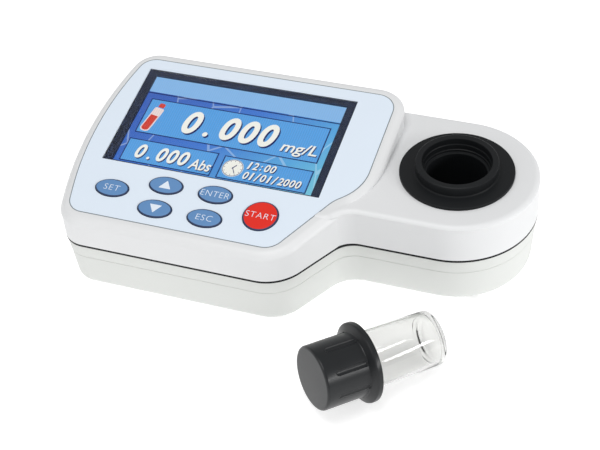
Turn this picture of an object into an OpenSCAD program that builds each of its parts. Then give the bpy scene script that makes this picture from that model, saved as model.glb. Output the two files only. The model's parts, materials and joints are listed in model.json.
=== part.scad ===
// Digital water tester: a bench photometer with a sample well, a sloping colour display and six keys,
// and the screw-capped sample vial that lies in front of it.
// Origin on the axis of the sample well, at the level of the feet. +Z is up, +X runs towards the round
// end, +Y to the back. Millimetres and degrees.

/* [Housing] */
// Radius of the round end, which is also the distance from the well axis to the back wall
end_r = 36; // [31:0.5:44]
// Distance from the well axis to the right wall of the display block
well_to_block = 30; // [27:0.5:33]
// Length of the display block along X
block_len = 140.5; // [136:0.5:175]
// Distance from the well axis to the front wall of the block
front_reach = 69; // [66:0.5:84]
// Distance from the well axis to the inner corner where the slanted wall meets the platform
neck_x = 40; // [38:0.5:48]
// Angle between the slanted wall and the front wall
neck_angle = 60; // [50:1:68]
// Radius of the bowed left wall
bow_r = 172; // [140:1:260]
// Distance that the middle of the bow lies in front of the well axis
bow_y = 14; // [8:0.5:20]
// Height of the seam between the two shells
seam_h = 27.5; // [24:0.5:33]
// Height of the platform around the well
platform_h = 46.9; // [42:0.1:54]
// Height of the display block at its front edge
block_front_h = 42.3; // [41:0.1:50]
// Slope of the display face
slope = 8.8; // [6:0.2:11]
// Wall thickness of both shells
wall = 2.5; // [2:0.1:3]
// Radius of the block's upper edge
block_edge_r = 4.5; // [3:0.1:5]
// Radius of the platform's upper edge
platform_edge_r = 3; // [2.6:0.1:4]
// Radius of the lower edge
bottom_edge_r = 5; // [3:0.1:6]
// Draft of the upper shell's walls
upper_draft = 1.2; // [0:0.1:3]
// Draft of the lower shell's walls
lower_draft = 3.5; // [0:0.1:5]
// Height of the seal that shows in the seam
seal_h = 1.2; // [0.8:0.1:2]

/* [Display and keys] */
// Width of the display's active area
screen_w = 95.04; // [79:0.01:98]
// Height of the display's active area
screen_h = 53.86; // [45:0.01:56]
// Window beyond the active area at each side
window_side = 4.13; // [2:0.01:6]
// Window beyond the active area at its top and bottom
window_end = 1.97; // [1:0.01:3]
// Width of an oval key
key_w = 15.9; // [12:0.1:18]
// Height of an oval key
key_h = 9.6; // [7:0.1:11]
// Diameter of the round start key
start_d = 15.6; // [12:0.1:18]
// Distance between two columns of keys
key_pitch = 23.43; // [21:0.01:26]
// Distance between the two rows of a column
row_pitch = 13.4; // [11:0.1:15]
// Travel of a key
key_travel = 0.5; // [0.3:0.1:0.8]

/* [Sample well] */
// Clearance of the bore around a vial's glass
well_clearance = 1.2; // [0.8:0.1:2]
// Thickness of the raised collar, from the bore outwards
collar_wall = 5; // [4.5:0.1:6]
// Width of the flange around the collar
well_flange_w = 6.9; // [5:0.1:8]
// Height of the collar's rim above the platform
collar_h = 6.4; // [3:0.1:9]
// Height of the well's floor
well_floor_z = 18.5; // [14:0.5:22]
// Height of the light path
beam_z = 30; // [28:0.5:34]

/* [Vial] */
// Outer radius of the vial's glass
glass_r = 12; // [10:0.1:14.4]
// Length of the glass that shows below the cap's flange
glass_len = 33.8; // [28:0.1:34]
// Width of the cap's flange beyond the glass
cap_flange_w = 5.1; // [4.5:0.1:6]
// Thickness of the cap's knob beyond the glass
knob_wall = 1.6; // [1.2:0.1:2.4]
// Length of the cap's knob
knob_len = 19.4; // [16:0.1:24]
// Rise of the cap for one turn of its thread
thread_pitch = 3; // [1.5:0.1:4]

/* [Hidden] */
$fn = 48;

gap = 0.15;
window_w = screen_w + 2 * window_side;
window_h = screen_h + 2 * window_end;
well_r = glass_r + well_clearance;
collar_r = well_r + collar_wall;
well_flange_r = collar_r + well_flange_w;
flange_r = glass_r + cap_flange_w;
knob_r = glass_r + knob_wall;
foot_h = 1;
base_z = foot_h;
floor_z = base_z + wall;
upper_bottom_z = seam_h + seal_h / 2;
lower_top_z = seam_h - seal_h / 2;
left_x = -well_to_block - block_len;
mid_x = -well_to_block - block_len / 2;
neck_rise = front_reach - end_r;

// ---- Outlines: corners with a radius, and rings of points that follow them at any inset

function xy(v) = [v.x, v.y];
function unit(v) = v / norm(v);
function turn(a, b) = atan2(a.x * b.y - a.y * b.x, a * b);

// One rounded corner, as [centre, radius, start angle, sweep, steps]. A right turn has a negative radius.
function corner(p, v, q, r) =
    let (u = unit(v - p), w = unit(q - v), t = turn(u, w), side = sign(t),
         start = v - u * r * tan(abs(t) / 2),
         centre = start + side * r * [-u.y, u.x], spoke = start - centre)
    [centre, side * r, atan2(spoke.y, spoke.x), t, max(2, ceil(abs(t) * sqrt(r) / 45))];

function corners(vs) = let (n = len(vs))
    [for (i = [0 : n - 1]) corner(xy(vs[(i + n - 1) % n]), xy(vs[i]), xy(vs[(i + 1) % n]), vs[i].z)];

function spoke_end(c, k, inset) = let (a = c[2] + c[3] * k / c[4])
    c[0] + (abs(c[1]) - sign(c[1]) * inset) * [cos(a), sin(a)];

function meets(c, d) = norm(spoke_end(c, c[4], 0) - spoke_end(d, 0, 0)) < 0.01;

// Every [corner, step] pair of an outline, without the doubled point where two arcs meet
function spokes(cs) = let (n = len(cs))
    [for (i = [0 : n - 1]) for (k = [(meets(cs[(i + n - 1) % n], cs[i]) ? 1 : 0) : cs[i][4]]) [cs[i], k]];

function outline(cs, inset) = [for (s = spokes(cs)) spoke_end(s[0], s[1], inset)];

function draft_inset(z) = (seam_h - z) * tan(z > seam_h ? upper_draft : lower_draft);

// One ring of the housing, at a height that may change with y
function ring(cs, height, inset) =
    [for (s = spokes(cs))
        let (guess = spoke_end(s[0], s[1], inset),
             p = spoke_end(s[0], s[1], inset + draft_inset(height(guess.y))))
        [p.x, p.y, height(p.y)]];

// A closed solid through rings of equal length, from the lowest to the highest
module loft(rings) {
    n = len(rings[0]);
    top = (len(rings) - 1) * n;
    polyhedron(
        points = [for (r = rings) each r],
        faces = concat(
            [[for (i = [0 : n - 1]) i]],
            [[for (i = [n - 1 : -1 : 0]) top + i]],
            [for (k = [0 : len(rings) - 2]) for (i = [0 : n - 1])
                [k * n + i, (k + 1) * n + i, (k + 1) * n + (i + 1) % n]],
            [for (k = [0 : len(rings) - 2]) for (i = [0 : n - 1])
                [k * n + i, (k + 1) * n + (i + 1) % n, k * n + (i + 1) % n]]
        )
    );
}

// ---- The housing's corner points, each as [x, y, radius]

front_corner = [-neck_x - neck_rise / tan(neck_angle), -front_reach, 20];
neck_corner = [-neck_x, -end_r, 12];
round_end = [[end_r, -end_r, end_r], [end_r, end_r, end_r]];
block_right = [-well_to_block, -end_r + (neck_x - well_to_block) * tan(neck_angle), 53];
block_back = [-well_to_block, end_r, 14.5];

// The bowed left wall between a front line and a back line: its two corners and its middle point
bow_angle = 13.5;
function bow(front_y, back_y, margin, corner_r) =
    let (r = bow_r - margin, tip = left_x + bow_r - r / cos(bow_angle))
    [[tip + (back_y + bow_y) * tan(bow_angle), back_y, corner_r],
     [tip, -bow_y, r],
     [tip - (front_y + bow_y) * tan(bow_angle), front_y, corner_r]];

body_corners = corners(concat([front_corner, neck_corner], round_end, bow(-front_reach, end_r, 0, 12.5)));
block_corners = corners(concat([front_corner, block_right, block_back], bow(-front_reach, end_r, 0, 12.5)));

// The platform, whose left end is buried in the block. Its slanted side leans a little into the block, so
// that the two walls cross instead of lying in one plane.
buried_r = 8;
buried_side = 25;
buried_angle = neck_angle - 3.4;
platform_corners = corners(concat(
    [[-neck_x - buried_side * cos(buried_angle), -end_r - buried_side * sin(buried_angle), buried_r],
     neck_corner],
    round_end,
    [[-well_to_block - buried_side - 1, end_r, buried_r], [-neck_x - buried_side + 1, 0, buried_r]]));
platform_inset = 0.02;

function face_z(y) = block_front_h + (y + front_reach) * tan(slope);

// A solid with a flat bottom and a rounded upper edge
module rounded_top(cs, bottom, top, inset, edge) {
    loft(concat(
        [ring(cs, function (y) bottom, inset)],
        [for (a = [0 : 22.5 : 90])
            ring(cs, function (y) top(y) - edge * (1 - sin(a)), inset + edge * (1 - cos(a)))]));
}

// Puts its children on the display face: x stays, y runs up the slope from the front edge, z stands on it
module on_face() {
    translate([0, -front_reach, block_front_h]) rotate([slope, 0, 0]) children();
}

function up_slope(y) = (y + front_reach) / cos(slope);

// A plate on the display face, between two levels
module face_plate(low, high) {
    on_face() translate([0, 0, low]) linear_extrude(high - low) children();
}

module oval(w, h) {
    polygon([for (a = [0 : 10 : 350]) [w / 2 * cos(a), h / 2 * sin(a)]]);
}

module tube(r, bore_r, h) {
    difference() {
        cylinder(r = r, h = h);
        translate([0, 0, -1]) cylinder(r = bore_r, h = h + 2);
    }
}

// ---- Places that several parts share

screw_spots = [
    [left_x + 13.5, -front_reach + 15], [left_x + 10.3, bow_y], [front_corner.x - 6, -front_reach + 11],
    [-well_to_block - 10, end_r - 12], [0.4 * end_r, -0.7 * end_r], [0.4 * end_r, 0.7 * end_r]];
boss_r = 3.3;
low_boss_r = boss_r + 0.9;
screw_r = 1.45;
screw_head_r = 2.8;
screw_head_top_z = 12;
screw_tip_z = seam_h + 10;

// The display stands a little to the left of the block's middle, and in its window a little low
display_x = mid_x - 3.85;
display_v = up_slope(end_r - 41);
window_v = display_v + 0.9;
frame_w = window_w + 1.6;
frame_h = window_h + 3.2;

// The keys' middle line below the window, and their shift to the left of the display's middle
key_drop = 15.46;
key_row_v = window_v - window_h / 2 - key_drop;
key_shift = 4.65;
function key_x(column) = display_x - key_shift + (column - 1.5) * key_pitch;
key_spots = [
    [key_x(0), key_row_v], [key_x(1), key_row_v + row_pitch / 2], [key_x(1), key_row_v - row_pitch / 2],
    [key_x(2), key_row_v + row_pitch / 2], [key_x(2), key_row_v - row_pitch / 2], [key_x(3), key_row_v]];
key_gap = 0.25;
key_rise = 0.7;
key_lip = 1.2;

board_top = -wall - 5.4;
board_t = 1.6;
board_back_v = up_slope(end_r - 7.2);
dome_h = 0.45;
post_spots = [
    [(key_x(0) + key_x(1)) / 2, key_row_v], [(key_x(2) + key_x(3)) / 2, key_row_v],
    [-well_to_block - 17.5, board_back_v - 55], [-well_to_block - 17.5, board_back_v - 11]];
post_r = 2.2;

// ---- Shells

module screw_bosses(z, h, r) {
    for (p = screw_spots) translate([p.x, p.y, z]) cylinder(r = r, h = h, $fn = 24);
}

module overlay_shape(grow) {
    margin = 5.5;
    lean = neck_angle - 18;
    diag = 6.3 / sin(neck_angle);
    front = -front_reach + margin;
    start_x = front_corner.x + margin / tan(neck_angle) - diag;
    bend_y = -end_r + 2.8;
    bend_x = start_x + (bend_y - front) / tan(neck_angle);
    right_x = -well_to_block - 5;
    vs = concat(
        [[start_x, front, 9], [bend_x, bend_y, 15],
         [right_x, bend_y + (right_x - bend_x) * tan(lean), 22], [right_x, end_r - 5, 9]],
        bow(front, end_r - 5, 4.3, 8));
    on_slope = [for (v = vs) [v.x, up_slope(v.y), v.z]];
    polygon(outline(corners(on_slope), -grow));
}

module window_shape(grow) {
    translate([display_x, window_v]) square([window_w + 2 * grow, window_h + 2 * grow], center = true);
}

module key_shape(i, grow) {
    translate(key_spots[i])
        if (i == 5) circle(d = start_d + 2 * grow); else oval(key_w + 2 * grow, key_h + 2 * grow);
}

overlay_t = 0.4;
overlay_sink = 0.3;
switch_spot = [left_x + 30, seam_h + 10.5];
switch_cut = [19, 12.8];
port_board_z = seam_h + 5.5;
port_board = [30, 19, 1.2];
port_shell = [7.7, 9.2, 3.9];
port_spot = [mid_x + 26, port_board_z + port_board.z + port_shell.z / 2];
port_cut = port_shell + [0.9, 0, 0.9];

module upper_shell() color([0.86, 0.86, 0.87])
    resize([0, 0, 0]) difference() {
        union() {
            rounded_top(block_corners, upper_bottom_z, function (y) face_z(y), 0, block_edge_r);
            rounded_top(platform_corners, upper_bottom_z, function (y) platform_h, platform_inset,
                platform_edge_r);
        }
        difference() {
            union() {
                rounded_top(block_corners, upper_bottom_z - 1, function (y) face_z(y) - wall, wall,
                    block_edge_r - wall + 0.5);
                rounded_top(platform_corners, upper_bottom_z - 1, function (y) platform_h - wall, wall + 0.3,
                    platform_edge_r - wall + 0.5);
            }
            screw_bosses(upper_bottom_z - 2, 60, boss_r);
        }
        face_plate(-overlay_sink, 5) overlay_shape(gap);
        face_plate(-wall - 2, 5) window_shape(0.1);
        for (i = [0 : 5]) face_plate(-wall - 2, 5) key_shape(i, key_gap);
        screw_bosses(upper_bottom_z - 2, screw_tip_z + 3 - upper_bottom_z, screw_r + 0.05);
        translate([0, 0, platform_h - 2 * wall]) cylinder(r = spigot_r + gap, h = 20, $fn = 72);
        translate([switch_spot.x - switch_cut.x / 2 - gap, end_r - 5, switch_spot.y - switch_cut.y / 2 - gap])
            cube([switch_cut.x + 2 * gap, 10, switch_cut.y + 2 * gap]);
        translate([port_spot.x - port_cut.x / 2, end_r - 5, port_spot.y - port_cut.z / 2]) cube(port_cut);
    }

// Each foot as [x, y, radius]
foot_r = 6;
feet = [
    [left_x + 19.5, -front_reach + 33, foot_r], [left_x + 20.5, end_r - 16, foot_r],
    [front_corner.x - 3, -front_reach + 29, foot_r], [-well_to_block - 22, end_r - 16, foot_r],
    [0, 0, foot_r + 2]];
foot_sink = 0.8;

cell_r = 7.1;
cell_len = 49.6;
cell_pitch = 2 * cell_r + 0.6;
bay = [4 * cell_pitch + 0.8, cell_len + 5.8];
bay_centre = [mid_x - 7.75, end_r - 52];
cover = [bay.x + 12, bay.y + 3.6, 1.5];
cover_screw_x = cover.x / 2 - 2.5;
cover_boss_r = 2;
block_rest_z = 20;
port_board_corner = [port_spot.x - port_board.x / 2, end_r - wall - 0.8 - port_board.y];

// The tester's floor stands this far inside the seam's outline
lower_step = 0.3;

module lower_skin(inset, bottom, top, edge) {
    loft(concat(
        [for (a = [90 : -22.5 : 0])
            ring(body_corners, function (y) bottom + edge * (1 - sin(a)), inset + edge * (1 - cos(a)))],
        [ring(body_corners, function (y) top, inset)]));
}

module lower_shell() color([0.85, 0.86, 0.84])
    resize([0, 0, 0]) difference() {
        union() {
            difference() {
                lower_skin(lower_step, base_z, lower_top_z, bottom_edge_r);
                difference() {
                    lower_skin(lower_step + wall, floor_z, lower_top_z + 1, bottom_edge_r - wall);
                    screw_bosses(base_z, 60, low_boss_r);
                    for (s = [-1, 1]) {
                        translate([s * (optics.x / 2 - 5), 0, base_z]) cylinder(r = 4, h = block_rest_z - base_z);
                        translate([bay_centre.x + s * cover_screw_x, bay_centre.y, base_z])
                            cylinder(r = cover_boss_r, h = 9, $fn = 24);
                        translate([port_spot.x + s * (port_board.x / 2 - 3), port_board_corner.y + 3, base_z])
                            cylinder(r = 2.5, h = port_board_z - base_z, $fn = 24);
                    }
                }
            }
            screw_bosses(lower_top_z - 2, seal_h + 2 - 0.05, boss_r);
            for (s = [-1, 1]) translate([port_spot.x + s * (port_board.x / 2 - 3), port_board_corner.y + 3, 20])
                cylinder(r = 2.5, h = port_board_z - 20, $fn = 24);
        }
        screw_bosses(base_z - 1, 60, screw_r + 0.25);
        screw_bosses(base_z - 1, screw_head_top_z - base_z + 1, screw_head_r + 0.3);
        for (f = feet) translate([f.x, f.y, 0]) cylinder(r = f.z + 0.1, h = base_z + foot_sink, $fn = 36);
        translate([bay_centre.x - bay.x / 2, bay_centre.y - bay.y / 2, 0]) cube([bay.x, bay.y, floor_z + 1]);
        translate([bay_centre.x - cover.x / 2 - gap, bay_centre.y - cover.y / 2 - gap, 0])
            cube([cover.x + 2 * gap, cover.y + 2 * gap, base_z + cover.z + 0.05]);
        for (s = [-1, 1]) translate([bay_centre.x + s * cover_screw_x, bay_centre.y, 0])
            cylinder(r = 1.05, h = 9, $fn = 20);
    }

seal_inset = 0.2;

module seam_seal() color([0.16, 0.17, 0.18])
    difference() {
        translate([0, 0, lower_top_z]) linear_extrude(seal_h) polygon(outline(body_corners, seal_inset));
        translate([0, 0, lower_top_z - 1]) linear_extrude(seal_h + 2) polygon(outline(body_corners, wall));
        screw_bosses(lower_top_z - 1, seal_h + 2, low_boss_r + 0.2);
    }

module rubber_feet() color([0.2, 0.2, 0.21])
    for (f = feet) translate([f.x, f.y, 0]) cylinder(r = f.z, h = base_z + foot_sink);

module cross_screw(r, head_r, head_h, length) {
    difference() {
        union() {
            cylinder(r = head_r, h = head_h);
            cylinder(r = r, h = length);
        }
        for (a = [0, 90]) rotate(a) translate([-head_r * 0.55, -0.35, -1]) cube([head_r * 1.1, 0.7, 1 + head_h / 2]);
    }
}

module housing_screws() color([0.7, 0.71, 0.73])
    for (p = screw_spots) translate([p.x, p.y, screw_head_top_z - 2.4])
        cross_screw(screw_r, screw_head_r, 2.4, screw_tip_z - screw_head_top_z + 2.4);

// ---- Display

module front_overlay() color([0.87, 0.91, 0.96])
    face_plate(-overlay_sink, overlay_t - overlay_sink) difference() {
        overlay_shape(0);
        window_shape(0.1);
        for (i = [0 : 5]) key_shape(i, key_gap);
    }

module display_window() color([0.24, 0.27, 0.32])
    face_plate(-wall + 0.05, -0.05) window_shape(0);

frame_top = -wall - 0.1;
frame_depth = 4.3;
panel_top = frame_top - 0.75;
panel_t = 1.5;

module centred_plate(w, h, low, high) {
    face_plate(low, high) translate([display_x, window_v]) square([w, h], center = true);
}

module lcd_frame() color([0.12, 0.13, 0.15])
    difference() {
        centred_plate(frame_w, frame_h, frame_top - frame_depth, frame_top);
        centred_plate(frame_w - 1.6, frame_h - 1.6, frame_top - frame_depth - 1, frame_top - 0.7);
        face_plate(frame_top - 2, frame_top + 1)
            translate([display_x, display_v]) square([screen_w, screen_h], center = true);
    }

module lcd_panel() color([0.15, 0.4, 0.75])
    centred_plate(frame_w - 2, frame_h - 2, panel_top - panel_t, panel_top);

module lcd_backlight() color([0.9, 0.92, 0.95])
    centred_plate(frame_w - 2, frame_h - 2, frame_top - frame_depth, panel_top - panel_t - 0.05);

// A strip of even thickness along a path
function strip(path, t) = let (n = len(path),
    side = [for (i = [0 : n - 1]) let (d = unit(path[min(i + 1, n - 1)] - path[max(i - 1, 0)])) [-d.y, d.x] * t / 2])
    concat([for (i = [0 : n - 1]) path[i] + side[i]], [for (i = [n - 1 : -1 : 0]) path[i] - side[i]]);

module display_ribbon() color([0.75, 0.5, 0.2]) {
    edge_x = display_x + frame_w / 2;
    path = [[0.1, 1.7], [0.9, 1.6], [1.2, 1], [0.9, 0.5], [-0.2, 0.35], [-5, 0.3]];
    on_face() translate([edge_x, display_v + 12, board_top]) rotate([90, 0, 0])
        linear_extrude(24) polygon(strip(path, 0.25));
}

// ---- Keys

module key(i) {
    face_plate(-wall - 0.05, key_rise) key_shape(i, 0);
    face_plate(-wall - 1.1, -wall - 0.05) key_shape(i, key_lip);
    on_face() translate([key_spots[i].x, key_spots[i].y, board_top + dome_h + key_travel + 0.05])
        cylinder(r = 2, h = -wall - 1.1 - board_top - dome_h - key_travel - 0.05);
}

key_blue = [0.42, 0.59, 0.78];
module key_set() color(key_blue) union() key(0);
module key_up() color(key_blue) union() key(1);
module key_down() color(key_blue) union() key(2);
module key_enter() color(key_blue) union() key(3);
module key_esc() color(key_blue) union() key(4);
module key_start() color([0.88, 0.24, 0.16]) union() key(5);

module key_domes() color([0.8, 0.8, 0.78])
    on_face() for (p = key_spots) translate([p.x, p.y, board_top]) cylinder(r1 = 3.2, r2 = 1.8, h = dome_h);

// ---- Main board

board_left = key_x(0) - 7.4;
board_front_v = key_row_v - 12.3;
board_right = -well_to_block - 14.5;

module main_board() color([0.1, 0.4, 0.22])
    difference() {
        face_plate(board_top - board_t, board_top)
            polygon([[board_left, board_front_v], [-well_to_block - 44, board_front_v],
                [board_right, board_back_v - 49], [board_right, board_back_v], [board_left, board_back_v]]);
        at_posts(board_top - board_t - 1) cylinder(r = 1.3, h = board_t + 2);
    }

module at_posts(level) {
    on_face() for (p = post_spots) translate([p.x, p.y, level]) children();
}

module board_standoffs() color([0.75, 0.65, 0.35])
    at_posts(board_top + 0.02) tube(post_r, 0.95, -wall - board_top - 0.04);

module board_screws() color([0.7, 0.71, 0.73])
    at_posts(board_top - board_t - 1.6) cross_screw(0.9, 2, 1.6, 1.6 + board_t + 3.5);

module under_board(x, v, t) {
    on_face() translate([x, v, board_top - board_t - t]) children();
}

module processor() color([0.12, 0.12, 0.13])
    under_board(mid_x + 20, 62, 1.6) cube([14, 14, 1.6]);

module buzzer() color([0.13, 0.13, 0.14])
    under_board(mid_x + 8, board_back_v - 17, 5.5) difference() {
        cylinder(r = 6, h = 5.5);
        translate([0, 0, -1]) cylinder(r = 1, h = 3);
    }

// ---- Sample well and optics

flange_t = 1.5;
spigot_r = collar_r - 0.2;
well_tube_r = well_r + 2;
mouth_r = well_r + 1.9;
mouth_z = platform_h - 0.7;
rim_z = platform_h + collar_h;
beam_r = 2.5;
seal_r = collar_r + 2.8;

module well_insert() color([0.16, 0.17, 0.18])
    difference() {
        rotate_extrude($fn = 96) polygon([
            [0, well_floor_z - 2], [well_tube_r, well_floor_z - 2], [well_tube_r, platform_h - 6],
            [spigot_r, platform_h - 6], [spigot_r, platform_h], [seal_r - 0.7, platform_h],
            [seal_r - 0.7, platform_h + 0.8], [seal_r + 0.7, platform_h + 0.8], [seal_r + 0.7, platform_h],
            [well_flange_r, platform_h], [well_flange_r, platform_h + flange_t - 0.5],
            [well_flange_r - 0.5, platform_h + flange_t], [collar_r + 0.4, platform_h + flange_t],
            [collar_r, platform_h + flange_t + 0.4], [collar_r, rim_z - 0.5], [collar_r - 0.5, rim_z],
            [mouth_r + 0.4, rim_z], [mouth_r, rim_z - 0.4], [mouth_r, mouth_z + 1.2],
            [mouth_r - 0.7, mouth_z + 1.2], [mouth_r - 0.7, mouth_z], [well_r + 0.4, mouth_z],
            [well_r, mouth_z - 0.4], [well_r, well_floor_z], [0, well_floor_z]]);
        translate([-well_tube_r - 1, 0, beam_z]) rotate([0, 90, 0])
            cylinder(r = beam_r, h = 2 * well_tube_r + 2);
    }

module well_seal() color([0.1, 0.1, 0.1])
    rotate_extrude() translate([seal_r - 0.6, platform_h + 0.02]) square([1.2, 0.7]);

// The block follows the round end inside, with its own clearance
optics = [2 * well_tube_r + 23.6, 2 * well_tube_r + 7, 20];
optics_r = end_r - wall - 2;
lens_x = well_tube_r + 4;
pocket_r = 5.2;
lens_r = 5;
filter_r = 6.35;

module along_x(x) {
    translate([x, 0, beam_z]) rotate([0, 90, 0]) children();
}

module optics_block() color([0.14, 0.14, 0.15])
    difference() {
        intersection() {
            translate([-optics.x / 2, -optics.y / 2, block_rest_z + 0.05]) cube(optics);
            translate([0, 0, block_rest_z - 1]) cylinder(r = optics_r, h = optics.z + 2);
        }
        translate([0, 0, block_rest_z - 1]) cylinder(r = well_tube_r + gap, h = optics.z + 2);
        along_x(-optics.x / 2 - 1) cylinder(r = beam_r, h = optics.x + 2);
        along_x(lens_x) cylinder(r = pocket_r, h = optics.x);
        along_x(-lens_x - optics.x) cylinder(r = filter_r + gap, h = optics.x);
        screw_bosses(block_rest_z - 1, optics.z + 2, low_boss_r + gap);
    }

module beam_lens() color([0.85, 0.92, 0.95])
    along_x(lens_x + 0.1) rotate_extrude() polygon([
        [0, 0], [lens_r, 0], [lens_r, 0.6], [lens_r * 0.8, 1.2], [lens_r * 0.4, 1.7], [0, 1.9]]);

module lamp_holder() color([0.2, 0.2, 0.2])
    along_x(lens_x + 2.3) tube(pocket_r - gap, 3.1, optics.x / 2 - lens_x - 2.4);

module lamp() color([0.85, 0.9, 1])
    along_x(lens_x + 2.4) union() {
        translate([0, 0, 2.4]) cylinder(r = 2.45, h = 5);
        translate([0, 0, 2.4]) sphere(r = 2.45);
        translate([0, 0, 6.4]) cylinder(r = 2.9, h = 1);
    }

module colour_filter() color([0.75, 0.55, 0.2])
    along_x(-lens_x - 5.1) cylinder(r = filter_r, h = 5);

module light_sensor() color([0.75, 0.68, 0.4])
    along_x(-optics.x / 2 - 0.1) cylinder(r = 4.6, h = optics.x / 2 - lens_x - 5.2);

module sensor_board() color([0.1, 0.4, 0.22])
    translate([-optics.x / 2 - 1.8, -10, beam_z - 11]) cube([1.6, 20, 22]);

module sensor_cable() color([0.6, 0.6, 0.62]) {
    start_x = -optics.x / 2 - 2.1;
    path = [[start_x, beam_z + 4], [start_x, beam_z + 6], [start_x - 1.5, beam_z + 7.5],
        [board_right - 3, beam_z + 8], [board_right - 5, beam_z + 9.5], [board_right - 5, beam_z + 12]];
    translate([0, 5, 0]) rotate([90, 0, 0]) linear_extrude(10) polygon(strip(path, 0.5));
}

// ---- Power: four cells in a tray, closed by a screwed cover

tray_z = floor_z + 0.05;
tray_roof = 1;
tray_h = 2 * cell_r + 1.2 + tray_roof;
cell_z = tray_z + 0.7 + cell_r;

module at_bay(x, y, z) {
    translate([bay_centre.x + x, bay_centre.y + y, z]) children();
}

module battery_tray() color([0.2, 0.2, 0.21])
    difference() {
        at_bay(-bay.x / 2 - 1.4, -bay.y / 2 - 1.4, tray_z) cube([bay.x + 2.8, bay.y + 2.8, tray_h]);
        at_bay(-bay.x / 2, -bay.y / 2, tray_z - 1) cube([bay.x, bay.y, tray_h - tray_roof + 1]);
    }

module battery_cells() color([0.2, 0.35, 0.6])
    for (k = [-1.5 : 1 : 1.5]) at_bay(k * cell_pitch, -cell_len / 2, cell_z) rotate([-90, 0, 0]) {
        side = k == -1.5 || k == 0.5 ? 0 : 1;
        translate([0, 0, side]) cylinder(r = cell_r, h = cell_len - 1);
        translate([0, 0, side == 0 ? cell_len - 1.1 : 0]) cylinder(r = 2.7, h = 1.1);
    }

module battery_contacts() color([0.75, 0.75, 0.76])
    for (k = [-1.5 : 1 : 1.5]) for (s = [-1, 1])
        at_bay(k * cell_pitch - 5, s * (bay.y / 2 - 0.45) - 0.3, tray_z + 3) union() {
            cube([10, 0.6, 10]);
            translate([5, s < 0 ? 0.5 : 0.1, 5]) rotate([s < 0 ? -90 : 90, 0, 0])
                cylinder(r1 = 4, r2 = 2, h = bay.y / 2 - 0.8 - cell_len / 2 - 0.1);
        }

module battery_cover() color([0.85, 0.86, 0.84])
    difference() {
        at_bay(-cover.x / 2, -cover.y / 2, base_z) cube(cover);
        for (s = [-1, 1]) at_bay(s * cover_screw_x, 0, 0) cylinder(r = 1.2, h = 9);
        for (s = [-1, 1]) at_bay(s * cover_screw_x, 0, 0) cylinder(r = 2.1, h = base_z + 0.9);
        for (k = [-2 : 2]) at_bay(k * 3 - 0.6, cover.y / 2 - 9, base_z - 1) cube([1.2, 6, 1.5]);
    }

module cover_screws() color([0.7, 0.71, 0.73])
    for (s = [-1, 1]) at_bay(s * cover_screw_x, 0, base_z + 0.1) cross_screw(0.95, 1.9, 0.8, 7);

// ---- Back panel: port and switch

module port_board() color([0.1, 0.4, 0.22])
    translate([port_board_corner.x, port_board_corner.y, port_board_z + 0.02]) cube(port_board);

module usb_port() color([0.78, 0.78, 0.8])
    translate([port_spot.x - port_shell.x / 2, end_r + 0.1 - port_shell.y, port_board_z + port_board.z + 0.04])
        difference() {
            cube(port_shell);
            translate([0.35, 1, 0.35]) cube([port_shell.x - 0.7, port_shell.y, port_shell.z - 0.7]);
        }

switch_face_y = end_r + 0.6;
rocker_tilt = 8;
rocker_pivot_y = switch_face_y - 3;
rocker_w = 16.2;
rocker_h = 10.4;
rocker_pin_r = 0.9;

module at_rocker_pivot(z) {
    translate([switch_spot.x, rocker_pivot_y, switch_spot.y + z]) children();
}

module switch_box(w, h, y0, y1) {
    translate([switch_spot.x - w / 2, y0, switch_spot.y - h / 2]) cube([w, y1 - y0, h]);
}

module switch_body() color([0.1, 0.1, 0.1])
    difference() {
        union() {
            switch_box(switch_cut.x, switch_cut.y, switch_face_y - 16, switch_face_y + 0.1);
            switch_box(21, 15, switch_face_y, switch_face_y + 1.5);
        }
        switch_box(rocker_w + 1.4, rocker_h + 0.6, switch_face_y - 7.5, switch_face_y + 3);
        at_rocker_pivot(-switch_cut.y / 2 - 1) cylinder(r = rocker_pin_r + 0.1, h = switch_cut.y + 2);
    }

module power_rocker() color([0.12, 0.12, 0.12])
    union() {
        at_rocker_pivot(-rocker_h / 2) rotate(rocker_tilt) linear_extrude(rocker_h) polygon([
            [-rocker_w / 2, -1], [-3, -2.4], [3, -2.4], [rocker_w / 2, -1],
            [rocker_w / 2, 4.2], [0, 5], [-rocker_w / 2, 4.2]]);
        at_rocker_pivot(-switch_cut.y / 2 + 0.2) cylinder(r = rocker_pin_r, h = switch_cut.y - 0.4);
    }

// ---- Vial: it lies on the cap's flange and the edge of its base

flange_face = [-16.15, -90.15];
vial_heading = 47.6;
flange_rim_t = 2.7;
flange_cone_t = 1.3;
glass_t = 1.2;
glass_base_t = 4.5;
neck_r = glass_r - 2.2;
mouth_depth = knob_len - 2.8;
liner_t = 1.4;
lying_tilt = atan((flange_r - glass_r) / glass_len);
cap_end_z = -flange_rim_t - flange_cone_t - knob_len;

// Puts its children on the vial's axis: z = 0 at the flange, +z towards the base of the glass
module on_vial() {
    translate([flange_face.x, flange_face.y, flange_r * cos(lying_tilt)])
        rotate([0, 90 + lying_tilt, vial_heading]) children();
}

module vial_glass() color([0.85, 0.92, 0.93, 0.4])
    on_vial() rotate_extrude($fn = 96) polygon([
        [0, glass_len], [glass_r - 0.5, glass_len], [glass_r, glass_len - 0.5], [glass_r, 0.4],
        [neck_r, -1.2], [neck_r, -4], [neck_r + 0.5, -4.4], [neck_r + 0.5, -5.2], [neck_r, -5.6],
        [neck_r, -7.4], [neck_r + 0.5, -7.8], [neck_r + 0.5, -8.6], [neck_r, -9],
        [neck_r, -mouth_depth], [neck_r - glass_t, -mouth_depth], [neck_r - glass_t, -1.2],
        [glass_r - glass_t, 1.4], [glass_r - glass_t, glass_len - glass_base_t - 1],
        [glass_r - glass_t - 1, glass_len - glass_base_t], [0, glass_len - glass_base_t]]);

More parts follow.
